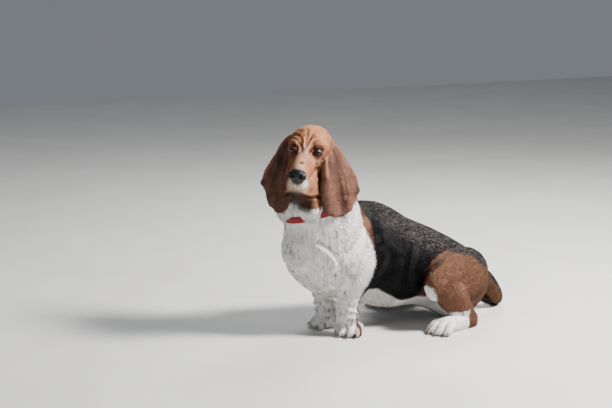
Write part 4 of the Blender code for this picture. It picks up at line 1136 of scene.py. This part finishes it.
class Shade:
    """A material, with short ways to add its nodes."""

    def __init__(self, name, roughness):
        self.material = bpy.data.materials.new(name)
        self.material.use_nodes = True
        self.tree = self.material.node_tree
        self.shader = self.tree.nodes["Principled BSDF"]
        self.shader.inputs["Roughness"].default_value = roughness
        self.rest = self.field("rest", "Vector")

    def node(self, kind, **settings):
        made = self.tree.nodes.new(kind)
        for name, value in settings.items():
            setattr(made, name, value)
        return made

    def join(self, socket, value):
        if isinstance(value, bpy.types.NodeSocket):
            self.tree.links.new(value, socket)
        elif isinstance(value, tuple) and len(value) == 3 and socket.type == "RGBA":
            socket.default_value = (*value, 1)
        else:
            socket.default_value = value

    def field(self, name, output="Fac"):
        return self.node("ShaderNodeAttribute", attribute_name=name).outputs[output]

    def math(self, operation, one, two):
        made = self.node("ShaderNodeMath", operation=operation)
        for socket, value in zip(made.inputs, (one, two)):
            self.join(socket, value)
        return made.outputs[0]

    def plus(self, one, two):
        return self.math("ADD", one, two)

    def times(self, one, two):
        return self.math("MULTIPLY", one, two)

    def step(self, value, low, high, start=0.0, end=1.0):
        made = self.node("ShaderNodeMapRange", interpolation_type="SMOOTHSTEP")
        for socket, number in zip(made.inputs, (value, low, high, start, end)):
            self.join(socket, number)
        return made.outputs[0]

    def mix(self, amount, one, two, way="MIX"):
        made = self.node("ShaderNodeMix", data_type="RGBA", blend_type=way)
        self.join(made.inputs[0], amount)
        self.join(made.inputs[6], one)
        self.join(made.inputs[7], two)
        return made.outputs[2]

    def noise(self, scale, detail, stretch=None, vector=None):
        made = self.node("ShaderNodeTexNoise")
        self.join(made.inputs["Scale"], scale)
        self.join(made.inputs["Detail"], detail)
        vector = vector or self.rest
        if stretch:
            placed = self.node("ShaderNodeMapping")
            self.join(placed.inputs["Vector"], vector)
            self.join(placed.inputs["Scale"], stretch)
            vector = placed.outputs[0]
        self.join(made.inputs["Vector"], vector)
        return made.outputs[0]

    def patchy(self, noise, low, high, one, two):
        """One colour with patches of another, by a noise's scale, detail and stretch."""
        return self.mix(self.step(self.noise(*noise), low, high), one, two)

    def cells(self, scale):
        made = self.node("ShaderNodeTexVoronoi", feature="SMOOTH_F1")
        self.join(made.inputs["Scale"], scale)
        self.join(made.inputs["Vector"], self.rest)
        return made.outputs["Distance"]

    def bump(self, height, distance, strength):
        made = self.node("ShaderNodeBump")
        self.join(made.inputs["Strength"], strength)
        self.join(made.inputs["Distance"], distance)
        self.join(made.inputs["Height"], height)
        return made.outputs[0]

    def finish(self, colour, normal=None, **sockets):
        self.join(self.shader.inputs["Base Color"], colour)
        if normal:
            self.join(self.shader.inputs["Normal"], normal)
        for name, value in sockets.items():
            self.join(self.shader.inputs[name.replace("_", " ")], value)
        return self.material


def coat_material(name, on_skin):
    """The markings in their places, with ragged edges, ticks, the change from hair to hair, and painted
    shade, sheen and highlights.
    """
    s = Shade(name, 0.62)
    ragged = s.plus(s.times(s.noise(55, 3), 0.010), s.times(s.noise(420, 2), 0.008))
    ragged = s.math("SUBTRACT", ragged, 0.009)
    broad = s.noise(9, 3)
    hair = s.noise(900, 2)

    def marked(field, soft):
        return s.step(s.plus(s.field(field), ragged), -soft, soft)

    white = s.mix(s.step(broad, 0.35, 0.7), (0.84, 0.83, 0.82), (0.70, 0.67, 0.64))
    white = s.mix(s.times(s.step(s.noise(60, 3), 0.55, 0.75), 0.30), white, (0.58, 0.52, 0.46))
    streaks = s.step(s.noise(48, 3, (1, 1, 0.22)), 0.52, 0.70)
    white = s.mix(s.times(streaks, 0.30), white, (0.44, 0.40, 0.36))
    spots = s.step(s.noise(130, 3, (1, 1, 0.40)), 0.57, 0.64)
    crowd = s.step(s.plus(s.noise(17, 2), s.times(s.field("tick"), 0.25)), 0.56, 0.74)
    white = s.mix(s.times(s.times(spots, crowd), 0.85), white, (0.19, 0.085, 0.050))
    grey = s.patchy((520, 2), 0.40, 0.62, (0.68, 0.66, 0.64), (0.33, 0.30, 0.28))
    colour = s.mix(marked("grey", 0.008), white, grey)
    tan = s.mix(s.step(broad, 0.35, 0.68), (0.135, 0.065, 0.039), (0.080, 0.038, 0.023))
    tan = s.mix(s.times(s.step(s.noise(300, 2), 0.5, 0.7), 0.35), tan, (0.045, 0.021, 0.013))
    rich = s.patchy((22, 3), 0.38, 0.66, (0.42, 0.190, 0.098), (0.25, 0.104, 0.052))
    # painted shade on the face, and the real brown spot over the nose, darken the head's tan
    rich = s.mix(s.field("spot_and_shade"), rich, (0.165, 0.066, 0.034))
    tan = s.mix(s.field("head"), tan, rich)
    colour = s.mix(marked("tan", 0.0022), colour, tan)
    ear = s.patchy((26, 3), 0.35, 0.68, (0.190, 0.092, 0.066), (0.105, 0.050, 0.037))
    # a painted highlight along the ears' edges
    ear = s.mix(s.times(s.field("rim"), 0.7), ear, (0.36, 0.165, 0.105))
    colour = s.mix(s.field("ear"), colour, ear)
    pale = s.patchy((90, 3), 0.40, 0.66, (0.80, 0.69, 0.61), (0.62, 0.44, 0.33))
    colour = s.mix(s.times(s.field("pale"), 0.85), colour, pale)
    black = s.patchy((26, 3), 0.4, 0.7, (0.003, 0.003, 0.004), (0.007, 0.007, 0.008))
    # grey over the top of the saddle: partly real grizzled hairs, partly a painted sheen of the light from
    # above
    flecks_and_sheen = s.times(s.step(s.noise(330, 2), 0.48, 0.66), s.field("fleck_and_sheen"))
    black = s.mix(s.times(flecks_and_sheen, 0.75), black, (0.165, 0.145, 0.140))
    colour = s.mix(marked("black", 0.0040), colour, black)
    colour = s.mix(marked("white", 0.003), colour, white)
    colour = s.mix(s.times(s.field("dark"), 0.93), colour, (0.020, 0.012, 0.010))
    colour = s.mix(s.times(s.field("pink"), 0.8), colour, (0.36, 0.085, 0.070))
    each = s.plus(0.78, s.times(s.field("shade"), 0.44))
    each = s.times(each, s.step(hair, 0.25, 0.75, 0.86, 1.12))
    tint = s.node("ShaderNodeCombineColor")
    for socket in tint.inputs:
        s.join(socket, each)
    colour = s.mix(1.0, colour, tint.outputs[0], "MULTIPLY")
    normal = None
    if on_skin:
        fine = s.plus(s.noise(700, 3), s.times(s.noise(260, 2), 0.8))
        normal = s.bump(fine, 0.0012, 0.6)
    rough = s.mix(s.field("dark"), (0.62,) * 3, (0.38,) * 3)
    split = s.node("ShaderNodeSeparateColor")
    s.join(split.inputs[0], rough)
    return s.finish(colour, normal, Roughness=split.outputs[0], Specular_IOR_Level=0.08)


SKIN_COAT = coat_material("skin_coat", True)
TUFT_COAT = coat_material("tuft_coat", False)
skin.data.materials.append(SKIN_COAT)
for coat in coats:
    coat.data.materials.append(TUFT_COAT)

# the eyes: white, iris and pupil by the angle from the way each looks, under a clear wet front
GAZE_UP = 0.16
GAZE_OUT = 14
CORNEA = 0.06
eyes = []
for side, node in ((1, "eye_left"), (-1, "eye_right")):
    eye = ball(f"eyeball_{node[4:]}", (0, 0, 0), (EYE_RADIUS,) * 3, None, 96)
    places, _ = arrays_of(eye)
    look = Vector((1, 0, GAZE_UP)).normalized()
    look = look @ Matrix.Rotation(math.radians(side * GAZE_OUT), 3, "Z")
    angle = np.arccos(np.clip(unit(places) @ np.array(look), -1, 1))
    bulge = 1 + CORNEA * (1 - share(angle, 0.35, 0.80))
    places *= bulge[:, None]
    write_fields(eye.data, {"gaze": angle})
    write_rest(eye.data, places)
    set_places(eye, places)
    eye.data.transform(eye_place(side))
    eye.data.shade_smooth()
    eyes.append((eye, node))

s = Shade("eye_wet", 0.10)
gaze = s.field("gaze")
fibres = s.noise(1500, 2)
iris = s.mix(s.step(fibres, 0.35, 0.65), (0.034, 0.013, 0.006), (0.012, 0.005, 0.003))
iris = s.mix(s.step(gaze, 0.72, 0.86), iris, (0.008, 0.004, 0.003))
colour = s.mix(s.step(gaze, 0.36, 0.41), (0.002, 0.002, 0.002), iris)
veins = s.mix(s.step(s.noise(420, 3), 0.5, 0.62), (0.15, 0.085, 0.065), (0.15, 0.040, 0.030))
colour = s.mix(s.step(gaze, 0.95, 1.06), colour, veins)
EYE_WET = s.finish(colour, Specular_IOR_Level=0.22, Coat_Weight=0.15, Coat_Roughness=0.03)
for eye, node in eyes:
    eye.data.materials.append(EYE_WET)

# the nose leather, with its nostrils and the groove between them
NOSE_VOXEL = 0.0006
NOSE_ROUNDS = 12
GROOVE_DEPTH = 0.0012
nose = joined("nose_leather", [head_ball("part", *part) for part in NOSE])
remesh(nose, NOSE_VOXEL)
places, _ = arrays_of(nose)
smooth_where(nose, np.full(len(places), 1.0), NOSE_ROUNDS)
for side in (1, -1):
    for (x, y, z), radii in NOSTRILS:
        hole = head_ball("hole", (x, side * y, z), radii, 24)
        shaped(nose, "BOOLEAN", operation="DIFFERENCE", object=hole, solver="EXACT")
        bpy.data.objects.remove(hole)
places, normals = arrays_of(nose)
local = to_head(places)
groove = (1 - share(np.abs(local[:, 1]), 0.0004, 0.0016)) * share(-local[:, 2], 0.030, 0.036)
places -= normals * (GROOVE_DEPTH * groove)[:, None]
set_places(nose, places)
write_rest(nose.data, places)
nose.data.shade_smooth()
s = Shade("nose_wet", 0.40)
pebbles = s.cells(620)
height = s.plus(pebbles, s.times(s.noise(900, 2), 0.3))
colour = s.mix(s.step(pebbles, 0.1, 0.6), (0.005, 0.0045, 0.006), (0.002, 0.002, 0.002))
wet = {"Specular_IOR_Level": 0.32, "Coat_Weight": 0.10, "Coat_Roughness": 0.30}
nose.data.materials.append(s.finish(colour, s.bump(height, 0.0006, 0.7), **wet))

# the claws, darker towards the tip: each follows its toe, which turns out a little
CLAW_SPREAD = 1.18
CLAW_FLARE = 8
CLAW_LENGTH = 0.018
CLAW_SIZE = 0.85
CLAW_HEIGHT = 1.15
claw_pieces = []
for paws, kind in ((FORE_PAWS, "forepaw"), (HIND_PAWS, "hindpaw")):
    for side, end in ((1, "left"), (-1, "right")):
        place, scale = paw_place(*paws[side]), paws[side][3]
        across_paw = place.to_3x3() @ Vector((0, -1, 0))
        for k, (y, x) in enumerate(TOES):
            row = []
            for (out, up), r in CLAW:
                aside = y * (CLAW_SPREAD + CLAW_FLARE * (out - CLAW[0][0][0]))
                r = r * scale * CLAW_SIZE
                row.append((place @ Vector((x + out, aside, up)), r, r * CLAW_HEIGHT, r * CLAW_HEIGHT))
            claw = loft(f"nail_{kind}_{end}_{k + 1}", row, across_paw, 5, 20, (30, 55, 75))
            places, _ = arrays_of(claw)
            write_rest(claw.data, places)
            gap = length(places - np.array(row[0][0]))
            write_fields(claw.data, {"out": share(gap, 0.0, CLAW_LENGTH * scale)})
            claw.data.shade_smooth()
            claw_pieces.append((claw, f"{kind}_{end}_claw_{k + 1}"))
s = Shade("claw_horn", 0.35)
streaks = s.noise(700, 3, (1, 1, 0.3))
horn = s.mix(s.step(streaks, 0.35, 0.68), (0.50, 0.41, 0.32), (0.33, 0.25, 0.18))
horn = s.mix(s.field("out"), horn, (0.30, 0.22, 0.16))
CLAW_HORN = s.finish(horn, s.bump(streaks, 0.0003, 0.5))
for claw, node in claw_pieces:
    claw.data.materials.append(CLAW_HORN)

# how far the frame lies from the shapes here, by the middle of an eye
SHIFT = sum(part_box("eye_left"), Vector()) / 2 - eye_place(1).translation

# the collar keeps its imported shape, with a woven web and rounded edges
SAME_POINT, SAME_PLANE, COLLAR_ROUND = 0.00005, 0.001, 0.0011
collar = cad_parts["collar"]
s = Shade("collar_web", 0.75)
place = s.node("ShaderNodeTexCoord").outputs["Object"]
rib = s.node("ShaderNodeTexWave", wave_type="BANDS", bands_direction="Z")
for name, value in (("Scale", 330), ("Distortion", 1.5), ("Detail Scale", 3), ("Vector", place)):
    s.join(rib.inputs[name], value)
weave = s.plus(rib.outputs["Fac"], s.noise(900, 2, vector=place))
red = s.mix(s.step(weave, 0.5, 1.4), (0.10, 0.006, 0.008), (0.30, 0.014, 0.018))
COLLAR_WEB = s.finish(red, s.bump(weave, 0.0006, 0.6))
band = bpy.data.objects.new("collar_band", collar.data.copy())
DOG.objects.link(band)
bm = bmesh.new()
bm.from_mesh(band.data)
bmesh.ops.remove_doubles(bm, verts=bm.verts, dist=SAME_POINT)
bmesh.ops.dissolve_limit(bm, angle_limit=SAME_PLANE, verts=bm.verts, edges=bm.edges)
bm.to_mesh(band.data)
bm.free()
shaped(band, "BEVEL", width=COLLAR_ROUND, segments=3, angle_limit=math.radians(50))
band.data.shade_smooth()
band.data.materials.clear()
band.data.materials.append(COLLAR_WEB)
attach(band, "root")
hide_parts("collar")

LIMBS = ("foreleg", "hindleg", "forepaw", "hindpaw", "ear")
FLESH_NODES = ["head", "neck", "torso", "tail"]
FLESH_NODES += [f"{limb}_{end}" for limb in LIMBS for end in ("left", "right")]
made = [skin, nose, *coats, *(eye for eye, _ in eyes), *(claw for claw, _ in claw_pieces)]
for piece in made:
    piece.data.transform(Matrix.Translation(SHIFT))
    piece.data.update()
    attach(piece, "root")
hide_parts(*FLESH_NODES)
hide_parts("nose")
for piece, node in eyes + claw_pieces:
    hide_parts(node)

# the floor, lights and camera
mesh = bpy.data.meshes.new("floor")
FLOOR_HALF = 6.0
floor_corners = [(x * FLOOR_HALF, y * FLOOR_HALF, 0) for x, y in ((-1, -1), (1, -1), (1, 1), (-1, 1))]
mesh.from_pydata(floor_corners, [], [(0, 1, 2, 3)])
floor = bpy.data.objects.new("floor", mesh)
SCENE.collection.objects.link(floor)
s = Shade("floor_pale", 0.8)
place = s.node("ShaderNodeTexCoord").outputs["Object"]
grain = s.noise(3, 3, vector=place)
mesh.materials.append(s.finish(s.mix(s.step(grain, 0.3, 0.7), (0.60, 0.60, 0.59), (0.64, 0.64, 0.63))))

world = bpy.data.worlds.new("studio")
SCENE.world = world
world.use_nodes = True
sky = world.node_tree.nodes["Background"].inputs
sky["Color"].default_value = (0.86, 0.92, 1.0, 1)
sky["Strength"].default_value = 0.22


def lamp(name, place, target, energy, size, colour=(1, 1, 1)):
    light = bpy.data.lights.new(name, "AREA")
    light.energy = energy
    light.size = size
    light.color = colour
    obj = bpy.data.objects.new(name, light)
    SCENE.collection.objects.link(obj)
    obj.location = place
    obj.rotation_euler = (Vector(target) - Vector(place)).to_track_quat("-Z", "Y").to_euler()


lamp("key", (1.65, 1.45, 2.4), (0, 0, 0.3), 370, 0.7, (1.0, 0.97, 0.93))
lamp("fill", (1.4, -2.8, 1.4), (0, 0, 0.3), 9, 1.8, (0.92, 0.96, 1.0))
lamp("rim", (-1.4, 1.2, 2.2), (0, 0, 0.35), 55, 1.2)

PHOTO_AZIMUTH = math.radians(63)
PHOTO_ELEVATION = math.radians(10)
PHOTO_DISTANCE = 4.2
PHOTO_LENS = 88.2
target = at(0.14, -0.0713, 0.35) + SHIFT
back = Vector(
    (
        math.sin(PHOTO_AZIMUTH) * math.cos(PHOTO_ELEVATION),
        -math.cos(PHOTO_AZIMUTH) * math.cos(PHOTO_ELEVATION),
        math.sin(PHOTO_ELEVATION),
    )
)
camera = bpy.data.objects.new("camera", bpy.data.cameras.new("camera"))
SCENE.collection.objects.link(camera)
camera.data.lens = PHOTO_LENS
camera.location = target + back * PHOTO_DISTANCE
camera.rotation_euler = back.to_track_quat("Z", "Y").to_euler()
SCENE.camera = camera
